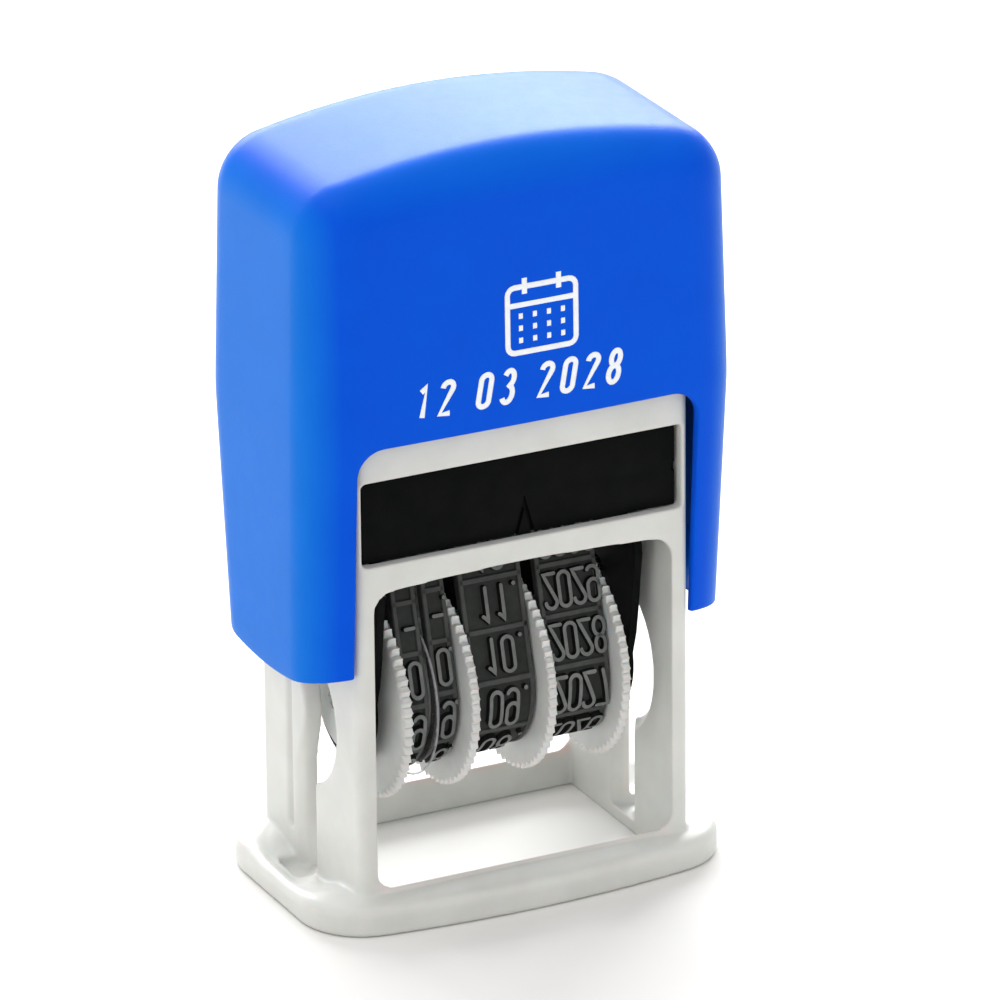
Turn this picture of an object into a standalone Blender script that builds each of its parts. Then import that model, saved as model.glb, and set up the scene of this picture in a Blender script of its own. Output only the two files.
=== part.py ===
"""Self inking date stamp: frame, press-down cap, flipping print unit, ink pad drawer, wheels and bands.

Origin: centre of the base's underside. +Z up, -Y towards the user, +X to the user's right.
"""

import math

import bmesh
import bpy
from mathutils import Matrix, Vector

MM = 0.001

# Frame: one moulding of base ring, two slotted side walls, front and rear panels, and a spring well
FRAME_HALF_WIDTH = 16.75 * MM
FRAME_HALF_DEPTH = 10.45 * MM
FRAME_CORNER = 0.7 * MM
FRAME_INNER_HALF_WIDTH = 15.0 * MM
FRAME_INNER_HALF_DEPTH = 9.25 * MM
PANEL_TOP = 47.3 * MM
NECK_HALF_WIDTH = 16.0 * MM
NECK_HALF_DEPTH = 8.6 * MM
NECK_TOP = 50.5 * MM
WELL_FLOOR = 44.6 * MM
WELL_WALL = 1.2 * MM
WINDOW_HALF_WIDTH = 16.04 * MM
WINDOW_BOTTOM = 35.25 * MM
WINDOW_TOP = 43.4 * MM
OPENING_TOP = 32.6 * MM
OPENING_CROWN = 0.45 * MM
OPENING_CORNER = 2.0 * MM

BASE_HALF_WIDTH = 21.0 * MM
BASE_HALF_DEPTH = 12.7 * MM
BASE_CORNER = 6.4 * MM
BASE_BOW = 1.0 * MM
SILL_TOP = 3.65 * MM
SCOOP_FLAT = 2.4 * MM
SCOOP_END = 8.2 * MM
APERTURE_HALF_DEPTH = 10.2 * MM

# Base section from the outside in: inset, height at the front and rear, height in the side scoops
BASE_PROFILE = (
    (0.3 * MM, 0.0, 0.0),
    (0.0, 0.3 * MM, 0.3 * MM),
    (0.0, 1.9 * MM, 1.6 * MM),
    (0.25 * MM, 2.5 * MM, 2.15 * MM),
    (0.8 * MM, 2.9 * MM, 2.4 * MM),
    (1.3 * MM, 3.05 * MM, 2.3 * MM),
    (1.9 * MM, 3.2 * MM, 1.95 * MM),
)
BASE_INNER_HEIGHTS = (3.5 * MM, 1.9 * MM)

# Side-wall slot that guides the trunnions: bowed to the front where the unit turns over
SLOT_BOTTOM = 1.2 * MM
SLOT_TOP = 29.5 * MM
# distance from the middle, front edge, rear edge, radius of the round widening
SLOT_SECTIONS = (
    (14.0, -2.7, 2.1, 7.9),
    (15.0, -2.7, 2.1, 7.9),
    (16.1, -0.9, 2.1, 6.78),
    (16.4, -0.9, 2.4, 6.78),
    (16.75, -0.9, 3.2, 6.78),
    (18.6, -0.9, 3.4, 6.78),
)
TURN_CENTER = (1.33 * MM, 17.3 * MM)
BUMP_Y = 0.95 * MM
BUMP_HALF_HEIGHT = 6.2 * MM
GROOVE_Y = 4.4 * MM
GROOVE_WIDTH = 0.8 * MM
GROOVE_DEPTH = 0.4 * MM

# Stroke and turn-over: the pad plane and the print plane are mirror images about the middle height
PAD_FACE = 35.35 * MM
PIVOT_Z = 26.5 * MM
TYPE_TOP = 34.95 * MM

# Cap: rounded box, widest at the crease, with two side legs
CAP_WALL = 0.95 * MM
CAP_BOTTOM = 23.0 * MM
LEG_BOTTOM = 23.4 * MM
LEG_ARCH_RADIUS = 40.0 * MM
LEG_CORNER = 1.0 * MM
CREASE = 47.3 * MM
CAP_TOP = 73.0 * MM
CAP_BOTTOM_HALF = (21.25 * MM, 10.3 * MM)
CAP_CREASE_HALF = (21.7 * MM, 11.85 * MM)
CAP_SHOULDER_HALF = (21.2 * MM, 11.6 * MM)
CAP_CORNER = 4.6 * MM
CAP_BOW = 0.2 * MM
CAP_EDGE = 4.2 * MM
CAP_ARCH_RADIUS = 80.0 * MM
CUTOUT_HALF_WIDTH = 17.0 * MM
CUTOUT_TOP = 47.0 * MM
CUTOUT_CORNER = 2.6 * MM
SOCKET_RADIUS = 2.1 * MM
SOCKET_INNER = 17.1 * MM
SPRING_BOSS_RADIUS = 2.7 * MM
SPRING_BOSS_BOTTOM = 66.6 * MM
GUIDE_POST_TOP = 47.6 * MM

# Return spring
SPRING_RADIUS = 3.7 * MM
SPRING_WIRE = 0.7 * MM
SPRING_TURNS = 8
SPRING_POINTS_PER_TURN = 9

# Ink pad drawer
CASE_HALF_WIDTH = 15.74 * MM
CASE_HALF_DEPTH = 9.55 * MM
CASE_BOTTOM = 35.45 * MM
CASE_TOP = 43.1 * MM
FELT_HALF_WIDTH = 13.3 * MM
FELT_HALF_DEPTH = 7.6 * MM
FELT_TOP = 41.0 * MM
FIT_GAP = 0.3 * MM
ARROW_X = 0.5 * MM
ARROW_TIP = 39.05 * MM
ARROW_SLOPE = 0.28
ARROW_LINE = 0.35 * MM
ARROW_DEPTH = 0.35 * MM

# Print unit
PLATE_OUTER_X = 13.4 * MM
PLATE_THICKNESS = 0.8 * MM
WHEEL_Z = 18.46 * MM
PLATE_HUB_RADIUS = 5.9 * MM
PLATE_SHOULDER = ((6.5, 22.0), (7.0, 25.0), (7.3, 27.5), (7.7, 30.2), (7.5, 31.6), (3.0, 34.2))
AXLE_RADIUS = 1.2 * MM
AXLE_HALF_LENGTH = 14.3 * MM
CLIP_RADIUS = 5.0 * MM
CLIP_THICKNESS = 0.25 * MM
CLIP_GAP = 0.15 * MM
TRUNNION_RADIUS = 0.7 * MM
TRUNNION_FLANGE_RADIUS = 1.9 * MM
TRUNNION_END_X = 19.2 * MM
TIE_BAR_Z = 29.4 * MM
TIE_BAR_RADIUS = 0.8 * MM
BRIDGE_HALF_DEPTH = 1.9 * MM
BRIDGE_BOTTOM = 30.9 * MM
BAND_CORNER = 0.3 * MM

WHEEL_RADIUS = 9.8 * MM
WHEEL_THICKNESS = 0.9 * MM
TOOTH_COUNT = 60
TOOTH_DEPTH = 0.6 * MM
DRUM_RADIUS = 5.7 * MM
BAND_INNER_RADIUS = 6.1 * MM
BAND_THICKNESS = 0.85 * MM
TYPE_RELIEF = 0.5 * MM
DIVIDER_RADIUS = 8.3 * MM
DIVIDER_X = (-7.85 * MM, -7.65 * MM)

# name, wheel's left face, band's left edge, band's right edge
DATE_COLUMNS = (
    ("day_tens", -11.74 * MM, -10.5 * MM, -8.1 * MM),
    ("day_units", -4.84 * MM, -7.4 * MM, -5.14 * MM),
    ("month", 2.95 * MM, -3.64 * MM, 2.65 * MM),
    ("year", 10.46 * MM, 4.15 * MM, 10.24 * MM),
)

PLASTIC_GREY = (0.66, 0.66, 0.64)
WHEEL_GREY = (0.60, 0.61, 0.60)
CAP_BLUE = (0.0, 0.09, 0.68)
BLACK = (0.008, 0.009, 0.009)
BAND_GREY = (0.045, 0.047, 0.045)
STEEL = (0.6, 0.6, 0.6)
CLEAR = (0.8, 0.82, 0.82)
FELT = (0.012, 0.012, 0.02)

AXIS_X = Matrix(((0, 0, 1, 0), (1, 0, 0, 0), (0, 1, 0, 0), (0, 0, 0, 1)))
AXIS_Y = Matrix(((1, 0, 0, 0), (0, 0, -1, 0), (0, 1, 0, 0), (0, 0, 0, 1)))

PART = bpy.data.collections.new("date_stamp")
CUTTERS = bpy.data.collections.new("cutters")


# ---------------------------------------------------------------- scene and materials


def clear_scene():
    for item in list(bpy.data.objects):
        bpy.data.objects.remove(item)
    bpy.context.scene.collection.children.link(PART)
    bpy.context.scene.collection.children.link(CUTTERS)


def give_material(item, color, roughness=0.45, metallic=0.0):
    finish = bpy.data.materials.new(item.name + "_finish")
    finish.use_nodes = True
    shader = finish.node_tree.nodes["Principled BSDF"]
    shader.inputs["Base Color"].default_value = (*color, 1.0)
    shader.inputs["Roughness"].default_value = roughness
    shader.inputs["Metallic"].default_value = metallic
    item.data.materials.clear()
    item.data.materials.append(finish)


def new_object(name, shape, collection=PART):
    """An object from a bmesh, with its normals facing out and its round faces smooth."""
    bmesh.ops.recalc_face_normals(shape, faces=shape.faces)
    mesh = bpy.data.meshes.new(name)
    shape.to_mesh(mesh)
    shape.free()
    mesh.shade_smooth()
    mesh.set_sharp_from_angle(angle=math.radians(35))
    item = bpy.data.objects.new(name, mesh)
    collection.objects.link(item)
    if collection is CUTTERS:
        item.hide_render = True
        item.display_type = "WIRE"
    return item


def set_origin(item, place):
    """Moves the object's origin to place and leaves its mesh where it is."""
    item.data.transform(Matrix.Translation(-Vector(place)))
    item.location = place


def boolean(target, other, operation):
    step = target.modifiers.new(other.name, "BOOLEAN")
    step.object = other
    step.operation = operation
    step.solver = "EXACT"


def cut(target, *cutters):
    for cutter in cutters:
        boolean(target, cutter, "DIFFERENCE")


def join(target, *pieces):
    for piece in pieces:
        boolean(target, piece, "UNION")


# ---------------------------------------------------------------- basic solids


def box(name, low, high, collection=PART):
    shape = bmesh.new()
    bmesh.ops.create_cube(shape, size=1.0)
    size = Vector(high) - Vector(low)
    middle = (Vector(high) + Vector(low)) / 2
    bmesh.ops.scale(shape, vec=size, verts=shape.verts)
    bmesh.ops.translate(shape, vec=middle, verts=shape.verts)
    return new_object(name, shape, collection)


def rod(name, radius, start, end, axis, collection=PART, sides=24):
    """A cylinder along X or Z from start to end, two points that differ along that axis only."""
    start, end = Vector(start), Vector(end)
    shape = bmesh.new()
    bmesh.ops.create_cone(
        shape, cap_ends=True, segments=sides, radius1=radius, radius2=radius, depth=(end - start).length
    )
    turn = Matrix.Rotation(math.radians(90), 4, "Y") if axis == "X" else Matrix.Identity(4)
    bmesh.ops.transform(shape, matrix=Matrix.Translation((start + end) / 2) @ turn, verts=shape.verts)
    return new_object(name, shape, collection)


def prism(name, outlines, direction, low, high, collection=PART):
    """A flat outline, with the holes in it, extruded from low to high along direction's normal."""
    curve = bpy.data.curves.new(name, "CURVE")
    curve.dimensions = "2D"
    curve.fill_mode = "BOTH"
    curve.extrude = abs(high - low) / 2
    for outline in outlines:
        spline = curve.splines.new("POLY")
        spline.points.add(len(outline) - 1)
        for point, (across, up) in zip(spline.points, outline):
            point.co = (across, up, 0.0, 1.0)
        spline.use_cyclic_u = True
    guide = bpy.data.objects.new(name, curve)
    CUTTERS.objects.link(guide)
    normal = Vector((direction[0][2], direction[1][2], direction[2][2]))
    along = (low + high) / 2 * (normal.x + normal.y + normal.z)
    guide.matrix_world = Matrix.Translation(normal * along) @ direction
    bpy.context.view_layer.update()
    graph = bpy.context.evaluated_depsgraph_get()
    mesh = bpy.data.meshes.new_from_object(guide.evaluated_get(graph))
    mesh.transform(guide.matrix_world)
    bpy.data.objects.remove(guide)
    shape = bmesh.new()
    shape.from_mesh(mesh)
    bmesh.ops.remove_doubles(shape, verts=shape.verts, dist=0.000001)
    return new_object(name, shape, collection)


def loft(name, rings, collection=PART, open_bottom=False, mirror_top=False):
    """Skins rings of equal point counts. mirror_top fills the last ring with strips across Y."""
    shape = bmesh.new()
    loops = [[shape.verts.new(point) for point in ring] for ring in rings]
    count = len(loops[0])
    for lower, upper in zip(loops, loops[1:]):
        for i in range(count):
            j = (i + 1) % count
            shape.faces.new((lower[i], lower[j], upper[j], upper[i]))
    if not open_bottom:
        shape.faces.new(loops[0][::-1])
    last = loops[-1]
    if not mirror_top:
        shape.faces.new(last)
    else:
        half = count // 2
        shape.faces.new((last[-2], last[-1], last[0], last[1], last[2]))
        shape.faces.new(last[half - 2:half + 3])
        for i in range(2, half - 2):
            shape.faces.new((last[i], last[i + 1], last[count - i - 1], last[count - i]))
    return new_object(name, shape, collection)


# ---------------------------------------------------------------- outlines


def arc(center, radius, start, end, steps):
    """Points on an arc, in degrees, both ends included."""
    turn = [math.radians(start + (end - start) * i / steps) for i in range(steps + 1)]
    return [(center[0] + radius * math.cos(a), center[1] + radius * math.sin(a)) for a in turn]


def rounded_rectangle(half_x, half_y, radius, bow=0.0, corner_steps=5, edge_steps=8, side_steps=1):
    """Points from (half_x, 0) turning left. The edges across X bulge by bow, tangent to the corners."""
    flat_x = half_x - radius
    center_y, lean, big = half_y - radius, 0.0, 0.0
    if bow > 0:
        big = (flat_x**2 + bow**2) / (2 * bow)
        center_y = half_y + bow - big + math.sqrt((big - radius) ** 2 - flat_x**2)
        lean = math.degrees(math.asin(flat_x / (big - radius)))

    def edge(sign):
        if bow > 0:
            middle = (0.0, sign * (half_y + bow - big))
            return arc(middle, big, 90 * sign - lean, 90 * sign + lean, edge_steps)[1:-1]
        steps = [flat_x * (1 - 2 * i / edge_steps) for i in range(1, edge_steps)]
        return [(sign * x, sign * half_y) for x in steps]

    side = [center_y * i / side_steps for i in range(side_steps)]
    points = [(half_x, y) for y in side]
    points += arc((flat_x, center_y), radius, 0, 90 - lean, corner_steps)
    points += edge(1)
    points += arc((-flat_x, center_y), radius, 90 + lean, 180, corner_steps)
    points += [(-half_x, y) for y in side[:0:-1]]
    points += [(-half_x, -y) for y in side]
    points += arc((-flat_x, -center_y), radius, 180, 270 - lean, corner_steps)
    points += edge(-1)
    points += arc((flat_x, -center_y), radius, 270 + lean, 360, corner_steps)
    points += [(half_x, -y) for y in side[:0:-1]]
    return points


def arched_opening(half_width, bottom, top, corner, crown, foot=0.0):
    """A doorway outline: round top corners, a slightly arched head, and fillets at the foot."""
    flat = half_width - corner
    points = arc((flat, top - corner), corner, 0, 90, 5)
    for i in range(1, 8):
        x = flat * (1 - 2 * i / 8)
        points.append((x, top + crown * (1 - (x / flat) ** 2)))
    points += arc((-flat, top - corner), corner, 90, 180, 5)
    if foot > 0:
        points += arc((-half_width + foot, bottom + foot), foot, 180, 270, 4)
        points += arc((half_width - foot, bottom + foot), foot, 270, 360, 4)
    else:
        points += [(-half_width, bottom), (half_width, bottom)]
    return points


def hull(points):
    """The convex outline round points, turning left."""
    points = sorted(set(points))

    def chain(items):
        kept = []
        for p in items:
            while len(kept) > 1 and turn_of(kept[-2], kept[-1], p) <= 0:
                kept.pop()
            kept.append(p)
        return kept

    return chain(points)[:-1] + chain(points[::-1])[:-1]


def turn_of(a, b, c):
    return (b[0] - a[0]) * (c[1] - a[1]) - (b[1] - a[1]) * (c[0] - a[0])


def band_loop(offset):
    """The outline of a date band, offset outwards from its inner face, in Y and Z."""
    bridge_z = TYPE_TOP - TYPE_RELIEF - BAND_THICKNESS - BAND_CORNER
    points = arc((0.0, WHEEL_Z), BAND_INNER_RADIUS + offset, 0, 360, 36)[:-1]
    for side in (-1, 1):
        points += arc((side * BRIDGE_HALF_DEPTH, bridge_z), BAND_CORNER + offset, 0, 360, 24)[:-1]
    return hull(points)


# ---------------------------------------------------------------- frame


def scoop_share(y):
    """1 in the flat middle of a side, falling smoothly to 0 at the scoop's ends."""
    along = (abs(y) - SCOOP_FLAT) / (SCOOP_END - SCOOP_FLAT)
    along = min(max(along, 0.0), 1.0)
    return 0.5 + 0.5 * math.cos(math.pi * along)


def base_ring():
    """The foot, lower beside the walls, where the cap's legs come down."""

    def ring(outline, front_height, scoop_height):
        return [(x, y, front_height + (scoop_height - front_height) * scoop_share(y)) for x, y in outline]

    rings = []
    for inset, front_height, scoop_height in BASE_PROFILE:
        outline = rounded_rectangle(
            BASE_HALF_WIDTH - inset, BASE_HALF_DEPTH - inset, BASE_CORNER - inset, BASE_BOW, side_steps=4
        )
        rings.append(ring(outline, front_height, scoop_height))
    inner = rounded_rectangle(
        FRAME_HALF_WIDTH - 0.4 * MM, FRAME_HALF_DEPTH - 0.4 * MM, 1.0 * MM, side_steps=4
    )
    rings.append(ring(inner, *BASE_INNER_HEIGHTS))
    return loft("base_ring", rings, CUTTERS)


def frame_tube():
    chamfer = 0.3 * MM
    sections = (
        (1.0 * MM, FRAME_HALF_WIDTH, FRAME_HALF_DEPTH, FRAME_CORNER),
        (PANEL_TOP - chamfer, FRAME_HALF_WIDTH, FRAME_HALF_DEPTH, FRAME_CORNER),
        (PANEL_TOP, FRAME_HALF_WIDTH - chamfer, FRAME_HALF_DEPTH - chamfer, FRAME_CORNER - chamfer),
        (PANEL_TOP, NECK_HALF_WIDTH, NECK_HALF_DEPTH, 1.2 * MM),
        (NECK_TOP, NECK_HALF_WIDTH, NECK_HALF_DEPTH, 1.2 * MM),
    )
    rings = []
    for height, half_x, half_y, radius in sections:
        rings.append([(x, y, height) for x, y in rounded_rectangle(half_x, half_y, radius, 0.0, 3)])
    return loft("frame", rings)


def slot_outline(front, rear, radius):
    """Front edge with the half round widening, rear edge with the bump that faces it."""
    reach = math.degrees(math.asin((TURN_CENTER[0] - front) / radius))
    points = [(rear, SLOT_BOTTOM)]
    for i in range(13):
        share = i / 6 - 1
        across = BUMP_Y + (rear - BUMP_Y) * (0.5 - 0.5 * math.cos(math.pi * share))
        points.append((across, TURN_CENTER[1] + BUMP_HALF_HEIGHT * share))
    points += [(rear, SLOT_TOP), (front, SLOT_TOP)]
    points += arc(TURN_CENTER, radius, 90 + reach, 270 - reach, 16)
    points += [(front, SLOT_BOTTOM)]
    return points


def slot_cutter(side, name):
    """The slot through one side wall, eased on the inside and at its outer rear edge."""
    rings = []
    for across, front, rear, radius in SLOT_SECTIONS:
        outline = slot_outline(front * MM, rear * MM, radius * MM)
        rings.append([(side * across * MM, y, z) for y, z in outline])
    return loft("slot_cut_" + name, rings, CUTTERS)


def frame_cutters():
    wide = FRAME_INNER_HALF_WIDTH
    opening = arched_opening(wide, -1 * MM, OPENING_TOP, OPENING_CORNER, OPENING_CROWN)
    sill = arched_opening(wide, SILL_TOP, OPENING_TOP, OPENING_CORNER, OPENING_CROWN, 1.6 * MM)
    window = [(x, z + (WINDOW_BOTTOM + WINDOW_TOP) / 2) for x, z in rounded_rectangle(
        WINDOW_HALF_WIDTH, (WINDOW_TOP - WINDOW_BOTTOM) / 2, 0.5 * MM, 0.0, 3, 2)]
    deep = 20 * MM
    well_x = NECK_HALF_WIDTH - WELL_WALL
    well_y = NECK_HALF_DEPTH - WELL_WALL
    cutters = [
        prism("aperture_cut", [opening], AXIS_Y, -APERTURE_HALF_DEPTH, APERTURE_HALF_DEPTH, CUTTERS),
        prism("sill_cut", [sill], AXIS_Y, -deep, deep, CUTTERS),
        box("chamber_cut", (-wide, -FRAME_INNER_HALF_DEPTH, OPENING_TOP - OPENING_CORNER - 1 * MM),
            (wide, FRAME_INNER_HALF_DEPTH, WINDOW_TOP), CUTTERS),
        prism("window_cut", [window], AXIS_Y, -deep, deep, CUTTERS),
        box("well_cut", (-well_x, -well_y, WELL_FLOOR), (well_x, well_y, NECK_TOP + deep), CUTTERS),
        slot_cutter(-1, "left"),
        slot_cutter(1, "right"),
    ]
    for side in (-1, 1):
        outer = side * (FRAME_HALF_WIDTH + 1 * MM)
        inner = side * (FRAME_HALF_WIDTH - GROOVE_DEPTH)
        cutters.append(box(
            "groove_cut", (min(inner, outer), GROOVE_Y - GROOVE_WIDTH / 2, 4.6 * MM),
            (max(inner, outer), GROOVE_Y + GROOVE_WIDTH / 2, PANEL_TOP + 2 * MM), CUTTERS))
    return cutters


def make_frame():
    frame = frame_tube()
    join(frame, base_ring())
    cut(frame, *frame_cutters())
    join(frame, rod("guide_post", SPRING_BOSS_RADIUS, (0, 0, WELL_FLOOR - 0.4 * MM),
                    (0, 0, GUIDE_POST_TOP), "Z", CUTTERS))
    give_material(frame, PLASTIC_GREY)


# ---------------------------------------------------------------- cap and spring


def cap_surface():
    """The cap's outer skin, open at the bottom, with an arched top."""

    def ring(height, half, inset, arched):
        outline = rounded_rectangle(
            half[0] - inset, half[1] - inset, max(CAP_CORNER - inset, 0.5 * MM), CAP_BOW, 4
        )
        drop = 0.5 / CAP_ARCH_RADIUS if arched else 0.0
        return [(x, y, height - drop * x * x) for x, y in outline]

    shoulder = CAP_TOP - CAP_EDGE
    rings = [
        ring(CAP_BOTTOM, CAP_BOTTOM_HALF, 0, False),
        ring(CREASE - 0.8 * MM, CAP_CREASE_HALF, 0.04 * MM, False),
        ring(CREASE, CAP_CREASE_HALF, 0, False),
        ring(CREASE + 0.8 * MM, CAP_CREASE_HALF, 0.02 * MM, False),
        ring(shoulder - 6 * MM, CAP_SHOULDER_HALF, -0.08 * MM, False),
        ring(shoulder, CAP_SHOULDER_HALF, 0, True),
    ]
    for angle in (22, 45, 67, 90):
        angle = math.radians(angle)
        inset = CAP_EDGE * (1 - math.cos(angle))
        rings.append(ring(shoulder + CAP_EDGE * math.sin(angle), CAP_SHOULDER_HALF, inset, True))
    for inset in (6.8 * MM, 9.4 * MM):
        rings.append(ring(CAP_TOP, CAP_SHOULDER_HALF, inset, True))
    return loft("cap_shell", rings, PART, open_bottom=True, mirror_top=True)


def cutout_outline():
    """The doorway round the frame's front, widened at its foot by the legs' rounded corners."""
    foot = LEG_BOTTOM + LEG_CORNER
    points = arched_opening(CUTOUT_HALF_WIDTH, foot, CUTOUT_TOP, CUTOUT_CORNER, 0.0)
    points = points[:-2]
    points += arc((-CUTOUT_HALF_WIDTH - LEG_CORNER, foot), LEG_CORNER, 0, -80, 4)
    points += [(-CUTOUT_HALF_WIDTH, CAP_BOTTOM - 2 * MM), (CUTOUT_HALF_WIDTH, CAP_BOTTOM - 2 * MM)]
    points += arc((CUTOUT_HALF_WIDTH + LEG_CORNER, foot), LEG_CORNER, 260, 180, 4)
    return points


def make_cap():
    cap = cap_surface()
    skin = cap.modifiers.new("wall", "SOLIDIFY")
    skin.thickness = CAP_WALL
    skin.offset = -1.0
    skin.use_even_offset = True
    deep = 20 * MM
    cut(cap, prism("cutout_cut", [cutout_outline()], AXIS_Y, -deep, deep, CUTTERS))
    rise = arc((0.0, LEG_BOTTOM + LEG_ARCH_RADIUS), LEG_ARCH_RADIUS, 248, 292, 16)
    below = [*rise, (rise[-1][0], CAP_BOTTOM - 2 * MM), (rise[0][0], CAP_BOTTOM - 2 * MM)]
    cut(cap, prism("leg_cut", [below], AXIS_X, -CAP_BOTTOM_HALF[0] - deep, CAP_BOTTOM_HALF[0] + deep, CUTTERS))
    for side, name in ((-1, "left"), (1, "right")):
        socket = rod("socket_" + name, SOCKET_RADIUS, (side * SOCKET_INNER, 0, PIVOT_Z),
                     (side * (CAP_BOTTOM_HALF[0] - 0.5 * MM), 0, PIVOT_Z), "X", CUTTERS)
        bore = rod("bore_" + name, TRUNNION_RADIUS + FIT_GAP, (side * (SOCKET_INNER - 1 * MM), 0, PIVOT_Z),
                   (side * (TRUNNION_END_X + FIT_GAP), 0, PIVOT_Z), "X", CUTTERS)
        join(cap, socket)
        cut(cap, bore)
    join(cap, rod("spring_boss", SPRING_BOSS_RADIUS, (0, 0, SPRING_BOSS_BOTTOM),
                  (0, 0, CAP_TOP - CAP_WALL / 2), "Z", CUTTERS))
    give_material(cap, CAP_BLUE, 0.38)


def make_spring():
    bottom = WELL_FLOOR + FIT_GAP + SPRING_WIRE / 2
    top = CAP_TOP - CAP_WALL - FIT_GAP - SPRING_WIRE / 2
    count = SPRING_TURNS * SPRING_POINTS_PER_TURN
    curve = bpy.data.curves.new("return_spring", "CURVE")
    curve.dimensions = "3D"
    curve.bevel_depth = SPRING_WIRE / 2
    curve.bevel_resolution = 2
    curve.use_fill_caps = True
    spline = curve.splines.new("POLY")
    spline.points.add(count)
    for i, point in enumerate(spline.points):
        angle = 2 * math.pi * i / SPRING_POINTS_PER_TURN
        along = i / count
        rise = along - math.sin(2 * math.pi * along) / (2 * math.pi) * 0.35
        point.co = (SPRING_RADIUS * math.cos(angle), SPRING_RADIUS * math.sin(angle),
                    bottom + (top - bottom) * rise, 1.0)
    spring = bpy.data.objects.new("return_spring", curve)
    PART.objects.link(spring)
    give_material(spring, STEEL, 0.25, 1.0)


# ---------------------------------------------------------------- ink pad drawer


def make_pad():
    case = box("ink_pad_cartridge", (-CASE_HALF_WIDTH, -CASE_HALF_DEPTH, CASE_BOTTOM),
               (CASE_HALF_WIDTH, CASE_HALF_DEPTH, CASE_TOP))
    recess = box("felt_recess",
                 (-FELT_HALF_WIDTH - FIT_GAP, -FELT_HALF_DEPTH - FIT_GAP, CASE_BOTTOM - 1 * MM),
                 (FELT_HALF_WIDTH + FIT_GAP, FELT_HALF_DEPTH + FIT_GAP, FELT_TOP + FIT_GAP), CUTTERS)
    foot = CASE_BOTTOM - 1 * MM
    reach = (ARROW_TIP - foot) * ARROW_SLOPE
    across = ARROW_LINE * math.sqrt(1 + ARROW_SLOPE**2)
    chevron = [(ARROW_X - reach, foot), (ARROW_X - reach + across, foot),
               (ARROW_X, ARROW_TIP - across / ARROW_SLOPE), (ARROW_X + reach - across, foot),
               (ARROW_X + reach, foot), (ARROW_X, ARROW_TIP)]
    arrow = prism("arrow_cut", [chevron], AXIS_Y, -CASE_HALF_DEPTH - 1 * MM, -CASE_HALF_DEPTH + ARROW_DEPTH,
                  CUTTERS)
    cut(case, recess, arrow)
    give_material(case, BLACK, 0.5)
    felt = box("ink_pad", (-FELT_HALF_WIDTH, -FELT_HALF_DEPTH, PAD_FACE),
               (FELT_HALF_WIDTH, FELT_HALF_DEPTH, FELT_TOP))
    give_material(felt, FELT, 0.95)


# ---------------------------------------------------------------- print unit


def plate_outline():
    """Round about the axle, flared to a shoulder, then narrowed to the type bridge."""
    shoulder = [(y * MM, z * MM) for y, z in PLATE_SHOULDER]
    points = arc((0.0, WHEEL_Z), PLATE_HUB_RADIUS, 168, 372, 24)
    points += shoulder
    points += [(-y, z) for y, z in shoulder[::-1]]
    return points


def make_carrier():
    holes = [
        arc((0.0, WHEEL_Z), AXLE_RADIUS + FIT_GAP, 0, 360, 20)[:-1],
        arc((0.0, PIVOT_Z), TRUNNION_RADIUS + FIT_GAP, 0, 360, 20)[:-1],
        arc((0.0, TIE_BAR_Z), TIE_BAR_RADIUS + FIT_GAP / 2, 0, 360, 16)[:-1],
    ]
    for side, name in ((-1, "left"), (1, "right")):
        faces = sorted((side * PLATE_OUTER_X, side * (PLATE_OUTER_X - PLATE_THICKNESS)))
        plate = prism("carrier_" + name + "_plate", [plate_outline(), *holes], AXIS_X, *faces)
        set_origin(plate, (0, 0, PIVOT_Z))
        give_material(plate, BLACK, 0.5)

        ring = [arc((0.0, WHEEL_Z), CLIP_RADIUS, 0, 360, 24)[:-1], holes[0]]
        clip_x = side * (PLATE_OUTER_X + CLIP_GAP)
        faces = sorted((clip_x, clip_x + side * CLIP_THICKNESS))
        clip = prism("axle_clip_" + name, ring, AXIS_X, *faces)
        set_origin(clip, (0, 0, PIVOT_Z))
        give_material(clip, WHEEL_GREY)

        make_trunnion(side, name)

    axle = rod("wheel_axle", AXLE_RADIUS, (-AXLE_HALF_LENGTH, 0, WHEEL_Z), (AXLE_HALF_LENGTH, 0, WHEEL_Z), "X")
    bar = rod("carrier_tie_bar", TIE_BAR_RADIUS, (-PLATE_OUTER_X, 0, TIE_BAR_Z),
              (PLATE_OUTER_X, 0, TIE_BAR_Z), "X", sides=16)
    for item, color, metal in ((axle, STEEL, 1.0), (bar, STEEL, 1.0)):
        set_origin(item, (0, 0, PIVOT_Z))
        give_material(item, color, 0.3, metal)


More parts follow.
